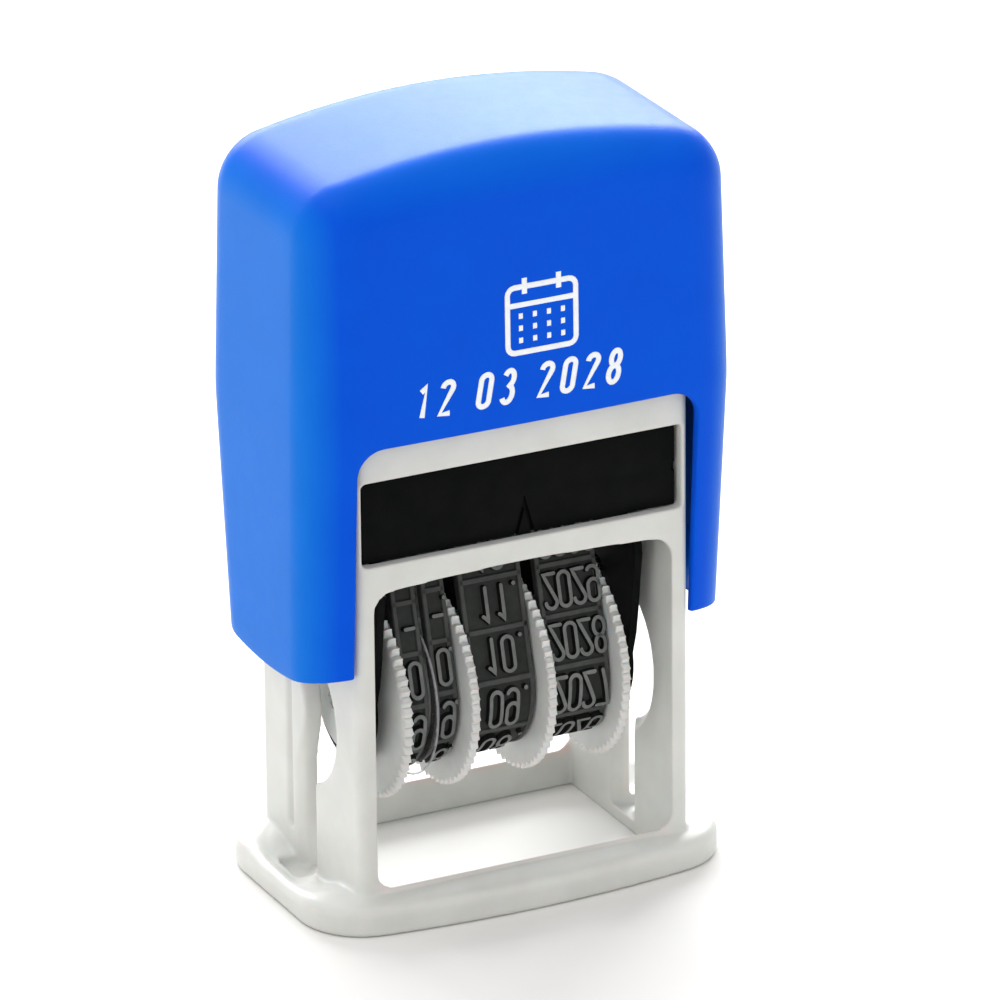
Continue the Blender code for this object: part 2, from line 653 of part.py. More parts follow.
def make_trunnion(side, name):
    """A flanged pin, turned about X."""
    flange_x = PLATE_OUTER_X + 0.2 * MM
    profile = (
        (0.0, TRUNNION_END_X),
        (TRUNNION_RADIUS - 0.2 * MM, TRUNNION_END_X),
        (TRUNNION_RADIUS, TRUNNION_END_X - 0.2 * MM),
        (TRUNNION_RADIUS, flange_x + 0.6 * MM),
        (TRUNNION_FLANGE_RADIUS, flange_x + 0.6 * MM),
        (TRUNNION_FLANGE_RADIUS, flange_x),
        (TRUNNION_RADIUS, flange_x),
        (TRUNNION_RADIUS, PLATE_OUTER_X - PLATE_THICKNESS - 0.3 * MM),
        (0.0, PLATE_OUTER_X - PLATE_THICKNESS - 0.3 * MM),
    )
    shape = bmesh.new()
    verts = [shape.verts.new((radius, 0.0, x)) for radius, x in profile]
    edges = [shape.edges.new(pair) for pair in zip(verts, verts[1:])]
    bmesh.ops.spin(shape, geom=verts + edges, cent=(0, 0, 0), axis=(0, 0, 1), angle=2 * math.pi, steps=20)
    bmesh.ops.remove_doubles(shape, verts=shape.verts, dist=0.000001)
    turn = Matrix.Rotation(math.radians(90 * side), 4, "Y")
    bmesh.ops.transform(shape, matrix=turn, verts=shape.verts)
    pin = new_object("trunnion_" + name, shape)
    pin.location = (0, 0, PIVOT_Z)
    give_material(pin, STEEL, 0.3, 1.0)


def make_type_bridge():
    half_x = PLATE_OUTER_X - PLATE_THICKNESS - FIT_GAP
    top = TYPE_TOP - TYPE_RELIEF - BAND_THICKNESS - FIT_GAP
    middle = (top + BRIDGE_BOTTOM) / 2
    outline = rounded_rectangle(BRIDGE_HALF_DEPTH, (top - BRIDGE_BOTTOM) / 2, 0.5 * MM, 0.0, 4, 2)
    bridge = prism("type_bridge", [[(y, z + middle) for y, z in outline]], AXIS_X, -half_x, half_x)
    set_origin(bridge, (0, 0, PIVOT_Z))
    give_material(bridge, BLACK, 0.5)


def make_bands():
    for name, _, left, right in DATE_COLUMNS:
        loops = [band_loop(BAND_THICKNESS + TYPE_RELIEF), band_loop(0.0)]
        band = prism("date_band_" + name, loops, AXIS_X, left, right)
        set_origin(band, (0, 0, PIVOT_Z))
        give_material(band, BAND_GREY, 0.6)
    ring = [arc((0.0, WHEEL_Z), DIVIDER_RADIUS, 0, 360, 48)[:-1],
            arc((0.0, WHEEL_Z), AXLE_RADIUS + FIT_GAP, 0, 360, 20)[:-1]]
    divider = prism("band_divider", ring, AXIS_X, *DIVIDER_X)
    set_origin(divider, (0, 0, PIVOT_Z))
    give_material(divider, CLEAR, 0.1)


def toothed_rim():
    points = []
    for i in range(TOOTH_COUNT):
        for part, radius in ((0.0, WHEEL_RADIUS - TOOTH_DEPTH), (0.5, WHEEL_RADIUS)):
            angle = 2 * math.pi * (i + part) / TOOTH_COUNT
            points.append((radius * math.cos(angle), WHEEL_Z + radius * math.sin(angle)))
    return points


def make_wheels():
    """Serrated wheels. Each has its drum on the side where its band runs."""
    bore = arc((0.0, WHEEL_Z), AXLE_RADIUS + FIT_GAP, 0, 360, 20)[:-1]
    drum_rim = arc((0.0, WHEEL_Z), DRUM_RADIUS, 0, 360, 32)[:-1]
    overlap = WHEEL_THICKNESS / 2
    for name, face, left, right in DATE_COLUMNS:
        drum = (face + overlap, right) if left > face else (left, face + overlap)
        wheel = prism("setting_wheel_" + name, [toothed_rim(), bore], AXIS_X, face, face + WHEEL_THICKNESS)
        set_origin(wheel, (0, 0, WHEEL_Z))
        join(wheel, prism("drum_" + name, [drum_rim, bore], AXIS_X, *drum, CUTTERS))
        give_material(wheel, WHEEL_GREY)


def main():
    clear_scene()
    make_frame()
    make_cap()
    make_spring()
    make_pad()
    make_carrier()
    make_type_bridge()
    make_bands()
    make_wheels()


main()
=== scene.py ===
"""Looks of the self inking date stamp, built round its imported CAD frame."""

import math

import bmesh
import bpy
from mathutils import Matrix, Vector


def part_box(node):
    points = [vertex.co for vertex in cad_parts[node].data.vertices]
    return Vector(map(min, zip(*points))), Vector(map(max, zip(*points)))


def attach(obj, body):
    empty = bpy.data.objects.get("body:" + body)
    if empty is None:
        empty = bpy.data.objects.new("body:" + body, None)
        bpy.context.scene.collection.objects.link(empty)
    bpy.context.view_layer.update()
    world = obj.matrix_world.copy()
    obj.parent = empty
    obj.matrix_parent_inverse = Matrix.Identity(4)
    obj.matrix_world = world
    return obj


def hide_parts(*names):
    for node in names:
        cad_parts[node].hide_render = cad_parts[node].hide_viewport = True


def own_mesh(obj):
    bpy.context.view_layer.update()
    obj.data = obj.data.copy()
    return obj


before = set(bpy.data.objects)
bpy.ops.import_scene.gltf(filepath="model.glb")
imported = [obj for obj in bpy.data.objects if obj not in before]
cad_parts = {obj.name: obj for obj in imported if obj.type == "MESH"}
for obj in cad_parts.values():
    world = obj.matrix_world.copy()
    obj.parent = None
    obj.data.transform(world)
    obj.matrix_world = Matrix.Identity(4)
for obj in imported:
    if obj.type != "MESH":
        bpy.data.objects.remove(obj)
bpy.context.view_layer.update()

MM = 0.001

# Frame moulding
FRAME_HALF = (16.75 * MM, 10.45 * MM)
FRAME_CORNER = 0.9 * MM
FRAME_INNER_HALF = (15.0 * MM, 9.25 * MM)
PANEL_TOP = 47.3 * MM
NECK_HALF = (16.0 * MM, 8.6 * MM)
NECK_TOP = 50.5 * MM
WELL_FLOOR = 44.6 * MM
WELL_WALL = 1.2 * MM
WINDOW_HALF_WIDTH = 16.04 * MM
WINDOW_Z = (35.25 * MM, 43.4 * MM)
OPENING_TOP = 32.6 * MM
OPENING_CROWN = 0.45 * MM
OPENING_CORNER = 2.0 * MM
BASE_HALF = (21.0 * MM, 12.7 * MM)
BASE_CORNER = 6.4 * MM
BASE_BOW = 1.0 * MM
SILL_TOP = 3.65 * MM
SCOOP_FLAT = 2.4 * MM
SCOOP_END = 8.2 * MM
APERTURE_HALF_DEPTH = 10.2 * MM
# inset, height at the front and rear, height in the side scoops
BASE_PROFILE = (
    (0.25, 0.0, 0.0), (0.0, 0.25, 0.25), (0.0, 1.2, 1.0), (0.0, 2.0, 1.65), (0.12, 2.4, 2.05),
    (0.4, 2.72, 2.3), (0.8, 2.9, 2.4), (1.1, 2.98, 2.38), (1.4, 3.05, 2.2), (1.7, 3.12, 2.0),
    (2.0, 3.2, 1.93),
)
BASE_INNER_HEIGHTS = (3.5 * MM, 1.9 * MM)
SLOT_Z = (1.2 * MM, 29.5 * MM)
# distance from the middle, front edge, rear edge, radius of the round widening
SLOT_LEFT = (
    (14.0, -2.7, 2.1, 7.9), (15.1, -2.7, 2.1, 7.9), (16.1, -0.9, 2.1, 6.78), (16.4, -0.9, 2.4, 6.78),
    (16.9, -0.9, 3.35, 6.78), (18.6, -0.9, 3.5, 6.78),
)
SLOT_RIGHT = (
    (14.0, -2.7, 2.1, 7.9), (15.1, -2.7, 2.1, 7.9), (16.1, -0.9, 1.5, 6.78), (18.6, -0.9, 1.0, 6.78),
)
TURN_CENTER = (1.33 * MM, 17.3 * MM)
BUMP_Y = 0.95 * MM
BUMP_HALF_HEIGHT = 6.2 * MM
GROOVE_Y = 4.4 * MM
GROOVE_WIDTH = 0.9 * MM
GROOVE_DEPTH = 0.45 * MM

# Cap shell
CAP_WALL = 0.95 * MM
CAP_BOTTOM = 23.0 * MM
LEG_BOTTOM = 23.4 * MM
LEG_ARCH_RADIUS = 40.0 * MM
LEG_CORNER = 1.0 * MM
CREASE = 47.3 * MM
CAP_TOP = 73.0 * MM
CAP_BOTTOM_HALF = (21.25 * MM, 10.3 * MM)
CAP_CREASE_HALF = (21.7 * MM, 11.85 * MM)
CAP_SHOULDER_HALF = (21.2 * MM, 11.6 * MM)
CAP_CORNER = 4.6 * MM
CAP_BOW = 0.2 * MM
CAP_EDGE = 4.2 * MM
CAP_ARCH_RADIUS = 80.0 * MM
CUTOUT_HALF_WIDTH = 17.0 * MM
CUTOUT_TOP = 47.0 * MM
CUTOUT_CORNER = 2.6 * MM
SOCKET_RADIUS = 2.1 * MM
SOCKET_INNER = 17.1 * MM
BORE_RADIUS = 1.0 * MM
BORE_END = 19.5 * MM
BOSS_RADIUS = 2.7 * MM
BOSS_BOTTOM = 66.6 * MM
GUIDE_POST_TOP = 47.6 * MM

# Print unit
PIVOT_Z = 26.5 * MM
WHEEL_Z = 18.46 * MM
TYPE_TOP = 34.95 * MM
WHEEL_THICKNESS = 0.9 * MM
DRUM_RADIUS = 5.7
AXLE_BORE = 1.5
# across the wheel from its outer face, radius, share of the tooth depth
WHEEL_STATIONS = (
    (0.0, AXLE_BORE, 0.0), (0.0, 5.0, 0.0), (0.0, 8.7, 0.0), (0.0, 9.1, 0.0), (0.06, 9.4, 0.5),
    (0.16, 9.66, 0.85), (0.3, 9.77, 1.0), (0.45, 9.8, 1.0), (0.75, 9.8, 1.0), (0.86, 9.76, 1.0),
    (0.9, 9.68, 0.95), (0.9, 9.1, 0.0), (0.9, 8.4, 0.0), (0.9, DRUM_RADIUS, 0.0),
)
TOOTH_COUNT = 60
TOOTH_DEPTH = 0.6 * MM
BAND_INNER_RADIUS = 6.1 * MM
BAND_THICKNESS = 0.85 * MM
TYPE_RELIEF = 0.5 * MM
BRIDGE_HALF_DEPTH = 1.9 * MM
BAND_CORNER = 0.3 * MM

AXIS_X = Matrix(((0, 0, 1, 0), (1, 0, 0, 0), (0, 1, 0, 0), (0, 0, 0, 1)))
AXIS_Y = Matrix(((1, 0, 0, 0), (0, 0, -1, 0), (0, 1, 0, 0), (0, 0, 0, 1)))
SCENE = bpy.context.scene.collection


# ---- materials


class Nodes:
    """Builds one procedural material round its Principled shader."""

    def __init__(self, name, **values):
        self.material = bpy.data.materials.new(name)
        self.material.use_nodes = True
        self.tree = self.material.node_tree
        self.shader = self.tree.nodes["Principled BSDF"]
        for key, value in values.items():
            self.shader.inputs[key.replace("_", " ")].default_value = value
        self.place = self.tree.nodes.new("ShaderNodeTexCoord").outputs["Object"]

    def add(self, kind, **settings):
        node = self.tree.nodes.new(kind)
        for key, value in settings.items():
            setattr(node, key, value)
        return node

    def link(self, source, target):
        self.tree.links.new(source, target)

    def noise(self, size, detail=3.0, roughness=0.5, stretch=(1, 1, 1)):
        """Noise whose features are about size across, in metres."""
        mapping = self.add("ShaderNodeMapping")
        mapping.inputs["Scale"].default_value = stretch
        self.link(self.place, mapping.inputs["Vector"])
        node = self.add("ShaderNodeTexNoise")
        node.inputs["Scale"].default_value = 1 / size
        node.inputs["Detail"].default_value = detail
        node.inputs["Roughness"].default_value = roughness
        self.link(mapping.outputs["Vector"], node.inputs["Vector"])
        return node.outputs["Fac"]

    def spread(self, source, low, high, start=0.3, end=0.7):
        """source, stretched from start..end to low..high."""
        node = self.add("ShaderNodeMapRange")
        for key, value in (("From Min", start), ("From Max", end), ("To Min", low), ("To Max", high)):
            node.inputs[key].default_value = value
        self.link(source, node.inputs["Value"])
        return node.outputs["Result"]

    def blend(self, factor, first, second):
        """A colour from first to second, each a colour or a socket."""
        node = self.add("ShaderNodeMix", data_type="RGBA")
        self.link(factor, node.inputs[0])
        for value, socket in ((first, node.inputs[6]), (second, node.inputs[7])):
            if isinstance(value, tuple):
                socket.default_value = (*value, 1.0)
            else:
                self.link(value, socket)
        return node.outputs[2]

    def bump(self, height, strength, distance):
        node = self.add("ShaderNodeBump")
        node.inputs["Strength"].default_value = strength
        node.inputs["Distance"].default_value = distance
        self.link(height, node.inputs["Height"])
        self.link(node.outputs["Normal"], self.shader.inputs["Normal"])

    def side_and_height(self):
        """How far the point is from the piece's middle plane, and its height."""
        part = self.add("ShaderNodeSeparateXYZ")
        self.link(self.place, part.inputs["Vector"])
        node = self.add("ShaderNodeMath", operation="ABSOLUTE")
        self.link(part.outputs["X"], node.inputs[0])
        return node.outputs[0], part.outputs["Z"]


def plastic(name, deep, light, roughness, grain, grain_strength, mottle=3.0, **values):
    """Moulded plastic: faint mottling, fine spark-eroded grain, and a roughness that varies a little."""
    nodes = Nodes(name, **values)
    cloud = nodes.noise(mottle * MM, 4.0)
    nodes.link(nodes.blend(nodes.spread(cloud, 0, 1), deep, light), nodes.shader.inputs["Base Color"])
    patch = nodes.noise(1.3 * MM, 3.0)
    nodes.link(nodes.spread(patch, roughness - 0.02, roughness + 0.02), nodes.shader.inputs["Roughness"])
    nodes.bump(nodes.noise(grain * MM, 2.0, 0.6), grain_strength, grain * MM * 0.5)
    return nodes.material


def cap_plastic(name):
    """Saturated blue, with a paler, greener blue painted on the side walls and the top as painted sheen."""
    nodes = Nodes(name, Specular_IOR_Level=0.05)
    cloud = nodes.spread(nodes.noise(6.0 * MM, 4.0), 0, 1)
    front = nodes.blend(cloud, (0.0, 0.074, 0.61), (0.0, 0.082, 0.64))
    # painted sheen: the side walls and the top take a paler, greener blue that stands in for the lamps'
    # grazing reflection
    sheen_blue = nodes.blend(cloud, (0.002, 0.143, 0.60), (0.004, 0.152, 0.63))
    side, height = nodes.side_and_height()
    sheen_share = nodes.add("ShaderNodeMath", operation="MAXIMUM")
    nodes.link(nodes.spread(side, 0, 1, 18.4 * MM, 21.2 * MM), sheen_share.inputs[0])
    nodes.link(nodes.spread(height, 0, 0.5, 68.6 * MM, 72.4 * MM), sheen_share.inputs[1])
    nodes.link(nodes.blend(sheen_share.outputs[0], front, sheen_blue), nodes.shader.inputs["Base Color"])
    nodes.link(nodes.spread(nodes.noise(1.3 * MM, 3.0), 0.34, 0.38), nodes.shader.inputs["Roughness"])
    nodes.bump(nodes.noise(0.16 * MM, 2.0, 0.6), 0.22, 0.08 * MM)
    return nodes.material


def steel(name, color, roughness):
    nodes = Nodes(name, Metallic=1.0)
    streak = nodes.noise(0.25 * MM, 3.0, 0.6, (0.15, 1, 1))
    dark = tuple(value * 0.86 for value in color)
    nodes.link(nodes.blend(nodes.spread(streak, 0, 1), dark, color), nodes.shader.inputs["Base Color"])
    nodes.link(nodes.spread(streak, roughness, roughness + 0.14), nodes.shader.inputs["Roughness"])
    nodes.bump(streak, 0.12, 0.01 * MM)
    return nodes.material


def felt(name):
    """Ink-soaked felt: matted fibres, wetter in patches."""
    nodes = Nodes(name, Specular_IOR_Level=0.35)
    fibre = nodes.noise(0.12 * MM, 6.0, 0.7, (1, 0.5, 1))
    wet = nodes.noise(4.0 * MM, 2.0)
    color = nodes.blend(nodes.spread(fibre, 0, 1), (0.006, 0.006, 0.012), (0.03, 0.03, 0.045))
    nodes.link(color, nodes.shader.inputs["Base Color"])
    nodes.link(nodes.spread(wet, 0.55, 0.95), nodes.shader.inputs["Roughness"])
    nodes.bump(fibre, 0.7, 0.12 * MM)
    return nodes.material


def clear_film(name):
    """Clear film: nearly invisible face on, bright at its rim."""
    nodes = Nodes(name, Specular_IOR_Level=0.4)
    part = nodes.add("ShaderNodeSeparateXYZ")
    nodes.link(nodes.place, part.inputs["Vector"])
    across = nodes.add("ShaderNodeMath", operation="SUBTRACT")
    across.inputs[1].default_value = WHEEL_Z
    nodes.link(part.outputs["Z"], across.inputs[0])
    flat = nodes.add("ShaderNodeCombineXYZ")
    nodes.link(part.outputs["Y"], flat.inputs["X"])
    nodes.link(across.outputs[0], flat.inputs["Y"])
    length = nodes.add("ShaderNodeVectorMath", operation="LENGTH")
    nodes.link(flat.outputs["Vector"], length.inputs[0])
    rim = nodes.spread(length.outputs["Value"], 0.05, 0.6, 8.05 * MM, 8.25 * MM)
    nodes.link(rim, nodes.shader.inputs["Alpha"])
    haze = nodes.noise(1.0 * MM, 4.0)
    nodes.link(nodes.spread(haze, 0.2, 0.35), nodes.shader.inputs["Roughness"])
    tint = nodes.blend(nodes.spread(haze, 0, 1), (0.30, 0.29, 0.31), (0.42, 0.41, 0.43))
    nodes.link(tint, nodes.shader.inputs["Base Color"])
    return nodes.material


FRAME_GREY = plastic("frame_grey", (0.585, 0.59, 0.56), (0.635, 0.64, 0.61), 0.42, 0.11, 0.10, 4.0,
                     Specular_IOR_Level=0.3, Subsurface_Weight=0.2, Subsurface_Scale=1.0 * MM)
WHEEL_GREY = plastic("wheel_grey", (0.60, 0.61, 0.60), (0.66, 0.67, 0.655), 0.38, 0.09, 0.10, 2.0,
                     Subsurface_Weight=0.3, Subsurface_Scale=0.8 * MM)
CAP_BLUE = cap_plastic("cap_blue")
CASE_BLACK = plastic("case_black", (0.0025, 0.003, 0.003), (0.0042, 0.0048, 0.0045), 0.4, 0.14, 0.22, 2.5,
                     Specular_IOR_Level=0.03)
CARRIER_BLACK = plastic("carrier_black", (0.002, 0.0024, 0.0024), (0.0035, 0.004, 0.004), 0.5, 0.14,
                        0.25, 2.5, Specular_IOR_Level=0.05)
# one band rubber in lit and shaded copies: the rails, bars and type tops are painted lighter as painted
# light, and the type sides are painted near black as painted shade
RUBBER_FLOOR = plastic("rubber_floor", (0.022, 0.0245, 0.0225), (0.031, 0.034, 0.0315), 0.6, 0.10, 0.35, 0.9,
                       Specular_IOR_Level=0.15)
LIT_RUBBER_RAIL = plastic("rubber_rail_painted_lit", (0.045, 0.048, 0.045), (0.062, 0.066, 0.062), 0.55, 0.10, 0.35, 0.9,
                      Specular_IOR_Level=0.25)
SHADED_RUBBER_SIDE = plastic("rubber_side_painted_shade", (0.006, 0.0065, 0.006), (0.01, 0.011, 0.01), 0.7, 0.10, 0.3, 0.9,
                      Specular_IOR_Level=0.1)
LIT_RUBBER_TYPE = plastic("rubber_type_painted_lit", (0.115, 0.122, 0.117), (0.16, 0.168, 0.16), 0.5, 0.12, 0.30, 0.9,
                      Specular_IOR_Level=0.3)
STEEL = steel("bright_steel", (0.72, 0.72, 0.71), 0.2)
SPRING_STEEL = steel("spring_steel", (0.6, 0.6, 0.6), 0.25)
PRINT_WHITE = plastic("print_white", (0.78, 0.81, 0.84), (0.86, 0.88, 0.90), 0.55, 0.12, 0.15, 0.8,
                      Specular_IOR_Level=0.2)
FELT = felt("ink_felt")
FILM = clear_film("clear_film")


# ---- outlines


def arc(center, radius, start, end, steps):
    """Points on an arc, in degrees, both ends included."""
    turn = [math.radians(start + (end - start) * i / steps) for i in range(steps + 1)]
    return [(center[0] + radius * math.cos(a), center[1] + radius * math.sin(a)) for a in turn]


def rounded_rectangle(half_x, half_y, radius, bow=0.0, corner_steps=10, edge_steps=20, side_steps=6):
    """Points from (half_x, 0) turning left. The edges across X bulge by bow, tangent to the corners."""
    flat_x = half_x - radius
    center_y, lean, big = half_y - radius, 0.0, 0.0
    if bow > 0:
        big = (flat_x**2 + bow**2) / (2 * bow)
        center_y = half_y + bow - big + math.sqrt((big - radius) ** 2 - flat_x**2)
        lean = math.degrees(math.asin(flat_x / (big - radius)))

    def edge(sign):
        if bow > 0:
            middle = (0.0, sign * (half_y + bow - big))
            return arc(middle, big, 90 * sign - lean, 90 * sign + lean, edge_steps)[1:-1]
        steps = [flat_x * (1 - 2 * i / edge_steps) for i in range(1, edge_steps)]
        return [(sign * x, sign * half_y) for x in steps]

    side = [center_y * i / side_steps for i in range(side_steps)]
    points = [(half_x, y) for y in side]
    points += arc((flat_x, center_y), radius, 0, 90 - lean, corner_steps)
    points += edge(1)
    points += arc((-flat_x, center_y), radius, 90 + lean, 180, corner_steps)
    points += [(-half_x, y) for y in side[:0:-1]]
    points += [(-half_x, -y) for y in side]
    points += arc((-flat_x, -center_y), radius, 180, 270 - lean, corner_steps)
    points += edge(-1)
    points += arc((flat_x, -center_y), radius, 270 + lean, 360, corner_steps)
    points += [(half_x, -y) for y in side[:0:-1]]
    return points


def arched_opening(half_width, bottom, top, corner, crown, foot=0.0):
    """A doorway outline: round top corners, a slightly arched head, and fillets at the foot."""
    flat = half_width - corner
    points = arc((flat, top - corner), corner, 0, 90, 12)
    for i in range(1, 16):
        x = flat * (1 - 2 * i / 16)
        points.append((x, top + crown * (1 - (x / flat) ** 2)))
    points += arc((-flat, top - corner), corner, 90, 180, 12)
    if foot > 0:
        points += arc((-half_width + foot, bottom + foot), foot, 180, 270, 8)
        points += arc((half_width - foot, bottom + foot), foot, 270, 360, 8)
    else:
        points += [(-half_width, bottom), (half_width, bottom)]
    return points


# ---- mesh making


def link_object(name, data):
    item = bpy.data.objects.new(name, data)
    SCENE.objects.link(item)
    return item


def evaluated_mesh(item):
    bpy.context.view_layer.update()
    graph = bpy.context.evaluated_depsgraph_get()
    return bpy.data.meshes.new_from_object(item.evaluated_get(graph))


def new_object(name, shape, sharp=35):
    """An object from a bmesh, smooth shaded, with edges above the angle sharp kept sharp."""
    bmesh.ops.recalc_face_normals(shape, faces=shape.faces)
    mesh = bpy.data.meshes.new(name)
    shape.to_mesh(mesh)
    shape.free()
    mesh.shade_smooth()
    if sharp:
        mesh.set_sharp_from_angle(angle=math.radians(sharp))
    return link_object(name, mesh)


def box(name, low, high):
    shape = bmesh.new()
    bmesh.ops.create_cube(shape, size=1.0)
    bmesh.ops.scale(shape, vec=Vector(high) - Vector(low), verts=shape.verts)
    bmesh.ops.translate(shape, vec=(Vector(high) + Vector(low)) / 2, verts=shape.verts)
    return new_object(name, shape)


def rod(name, radius, start, end, axis, sides=48):
    start, end = Vector(start), Vector(end)
    shape = bmesh.new()
    bmesh.ops.create_cone(
        shape, cap_ends=True, segments=sides, radius1=radius, radius2=radius, depth=(end - start).length
    )
    turn = Matrix.Rotation(math.radians(90), 4, "Y") if axis == "X" else Matrix.Identity(4)
    bmesh.ops.transform(shape, matrix=Matrix.Translation((start + end) / 2) @ turn, verts=shape.verts)
    return new_object(name, shape)


def prism(name, outlines, direction, low, high):
    """A flat outline, with the holes in it, extruded from low to high along direction's normal."""
    curve = bpy.data.curves.new(name, "CURVE")
    curve.dimensions = "2D"
    curve.fill_mode = "BOTH"
    curve.extrude = abs(high - low) / 2
    for outline in outlines:
        spline = curve.splines.new("POLY")
        spline.points.add(len(outline) - 1)
        for point, (across, up) in zip(spline.points, outline):
            point.co = (across, up, 0.0, 1.0)
        spline.use_cyclic_u = True
    guide = link_object(name, curve)
    normal = Vector((direction[0][2], direction[1][2], direction[2][2]))
    along = (low + high) / 2 * (normal.x + normal.y + normal.z)
    guide.matrix_world = Matrix.Translation(normal * along) @ direction
    mesh = evaluated_mesh(guide)
    mesh.transform(guide.matrix_world)
    bpy.data.objects.remove(guide)
    shape = bmesh.new()
    shape.from_mesh(mesh)
    bmesh.ops.remove_doubles(shape, verts=shape.verts, dist=0.000001)
    return new_object(name, shape)


def loft(name, rings, open_bottom=False, mirror_top=False, sharp=35):
    """Skins rings of equal point counts. mirror_top fills the last ring with strips across Y."""
    shape = bmesh.new()
    loops = [[shape.verts.new(point) for point in ring] for ring in rings]
    count = len(loops[0])
    for lower, upper in zip(loops, loops[1:]):
        for i in range(count):
            j = (i + 1) % count
            shape.faces.new((lower[i], lower[j], upper[j], upper[i]))
    if not open_bottom:
        shape.faces.new(loops[0][::-1])
    last = loops[-1]
    if not mirror_top:
        shape.faces.new(last)
    else:
        half = count // 2
        shape.faces.new((last[-2], last[-1], last[0], last[1], last[2]))
        shape.faces.new(last[half - 2:half + 3])
        for i in range(2, half - 2):
            shape.faces.new((last[i], last[i + 1], last[count - i - 1], last[count - i]))
    return new_object(name, shape, sharp)


def combine(target, operation, *others):
    """Boolean steps, applied at once. The other objects are used up."""
    for other in others:
        step = target.modifiers.new(other.name, "BOOLEAN")
        step.object = other
        step.operation = operation
        step.solver = "EXACT"
    apply_modifiers(target)
    for other in others:
        bpy.data.objects.remove(other)


def apply_modifiers(item):
    mesh = evaluated_mesh(item)
    item.modifiers.clear()
    item.data = mesh


def paint(item, *materials):
    for material in materials:
        item.data.materials.append(material)


def bevel(item, width, segments=3, angle=35, clamp=True):
    step = item.modifiers.new("edges", "BEVEL")
    step.width = width
    step.segments = segments
    step.limit_method = "ANGLE"
    step.angle_limit = math.radians(angle)
    step.use_clamp_overlap = clamp
    step.harden_normals = False


def soften(item, voxel, rounds):
    """Turns sharp moulded edges, outer and inner, into small fillets."""
    step = item.modifiers.new("skin", "REMESH")
    step.mode = "VOXEL"
    step.voxel_size = voxel
    step.use_smooth_shade = True
    smooth = item.modifiers.new("fillets", "SMOOTH")
    smooth.factor = 0.5
    smooth.iterations = rounds
    apply_modifiers(item)
    item.data.shade_smooth()


def settle(item, body, slot, *nodes):
    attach(item, body)
    if nodes:
        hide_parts(*nodes)


# ---- frame


def scoop_share(y):
    along = min(max((abs(y) - SCOOP_FLAT) / (SCOOP_END - SCOOP_FLAT), 0.0), 1.0)
    return 0.5 + 0.5 * math.cos(math.pi * along)


def base_ring():
    def ring(outline, front_height, scoop_height):
        return [(x, y, front_height + (scoop_height - front_height) * scoop_share(y)) for x, y in outline]

    rings = []
    for inset, front_height, scoop_height in BASE_PROFILE:
        inset = inset * MM
        outline = rounded_rectangle(BASE_HALF[0] - inset, BASE_HALF[1] - inset, BASE_CORNER - inset, BASE_BOW,
                                    side_steps=12)
        rings.append(ring(outline, front_height * MM, scoop_height * MM))
    inner = rounded_rectangle(FRAME_HALF[0] - 0.4 * MM, FRAME_HALF[1] - 0.4 * MM, 1.0 * MM, side_steps=12)
    rings.append(ring(inner, *BASE_INNER_HEIGHTS))
    return loft("base_ring", rings)


def frame_tube():
    chamfer = 0.3 * MM
    inner_corner = 1.2 * MM
    half_x, half_y = FRAME_HALF
    sections = (
        (1.0 * MM, half_x, half_y, FRAME_CORNER),
        (PANEL_TOP - chamfer, half_x, half_y, FRAME_CORNER),
        (PANEL_TOP, half_x - chamfer, half_y - chamfer, FRAME_CORNER - chamfer),
        (PANEL_TOP, *NECK_HALF, inner_corner),
        (NECK_TOP, *NECK_HALF, inner_corner),
    )
    rings = []
    for height, across, deep, radius in sections:
        rings.append([(x, y, height) for x, y in rounded_rectangle(across, deep, radius, 0.0, 6, 8)])
    return loft("moulded_frame", rings)


def slot_outline(front, rear, radius):
    reach = math.degrees(math.asin((TURN_CENTER[0] - front) / radius))
    points = [(rear, SLOT_Z[0])]
    for i in range(33):
        share = i / 16 - 1
        across = BUMP_Y + (rear - BUMP_Y) * (0.5 - 0.5 * math.cos(math.pi * share))
        points.append((across, TURN_CENTER[1] + BUMP_HALF_HEIGHT * share))
    points += [(rear, SLOT_Z[1]), (front, SLOT_Z[1])]
    points += arc(TURN_CENTER, radius, 90 + reach, 270 - reach, 40)
    points += [(front, SLOT_Z[0])]
    return points


def slot_cutter(side, sections):
    """The slot through one side wall, eased on the inside."""
    rings = []
    for across, front, rear, radius in sections:
        outline = slot_outline(front * MM, rear * MM, radius * MM)
        rings.append([(side * across * MM, y, z) for y, z in outline])
    return loft("slot_cut", rings)


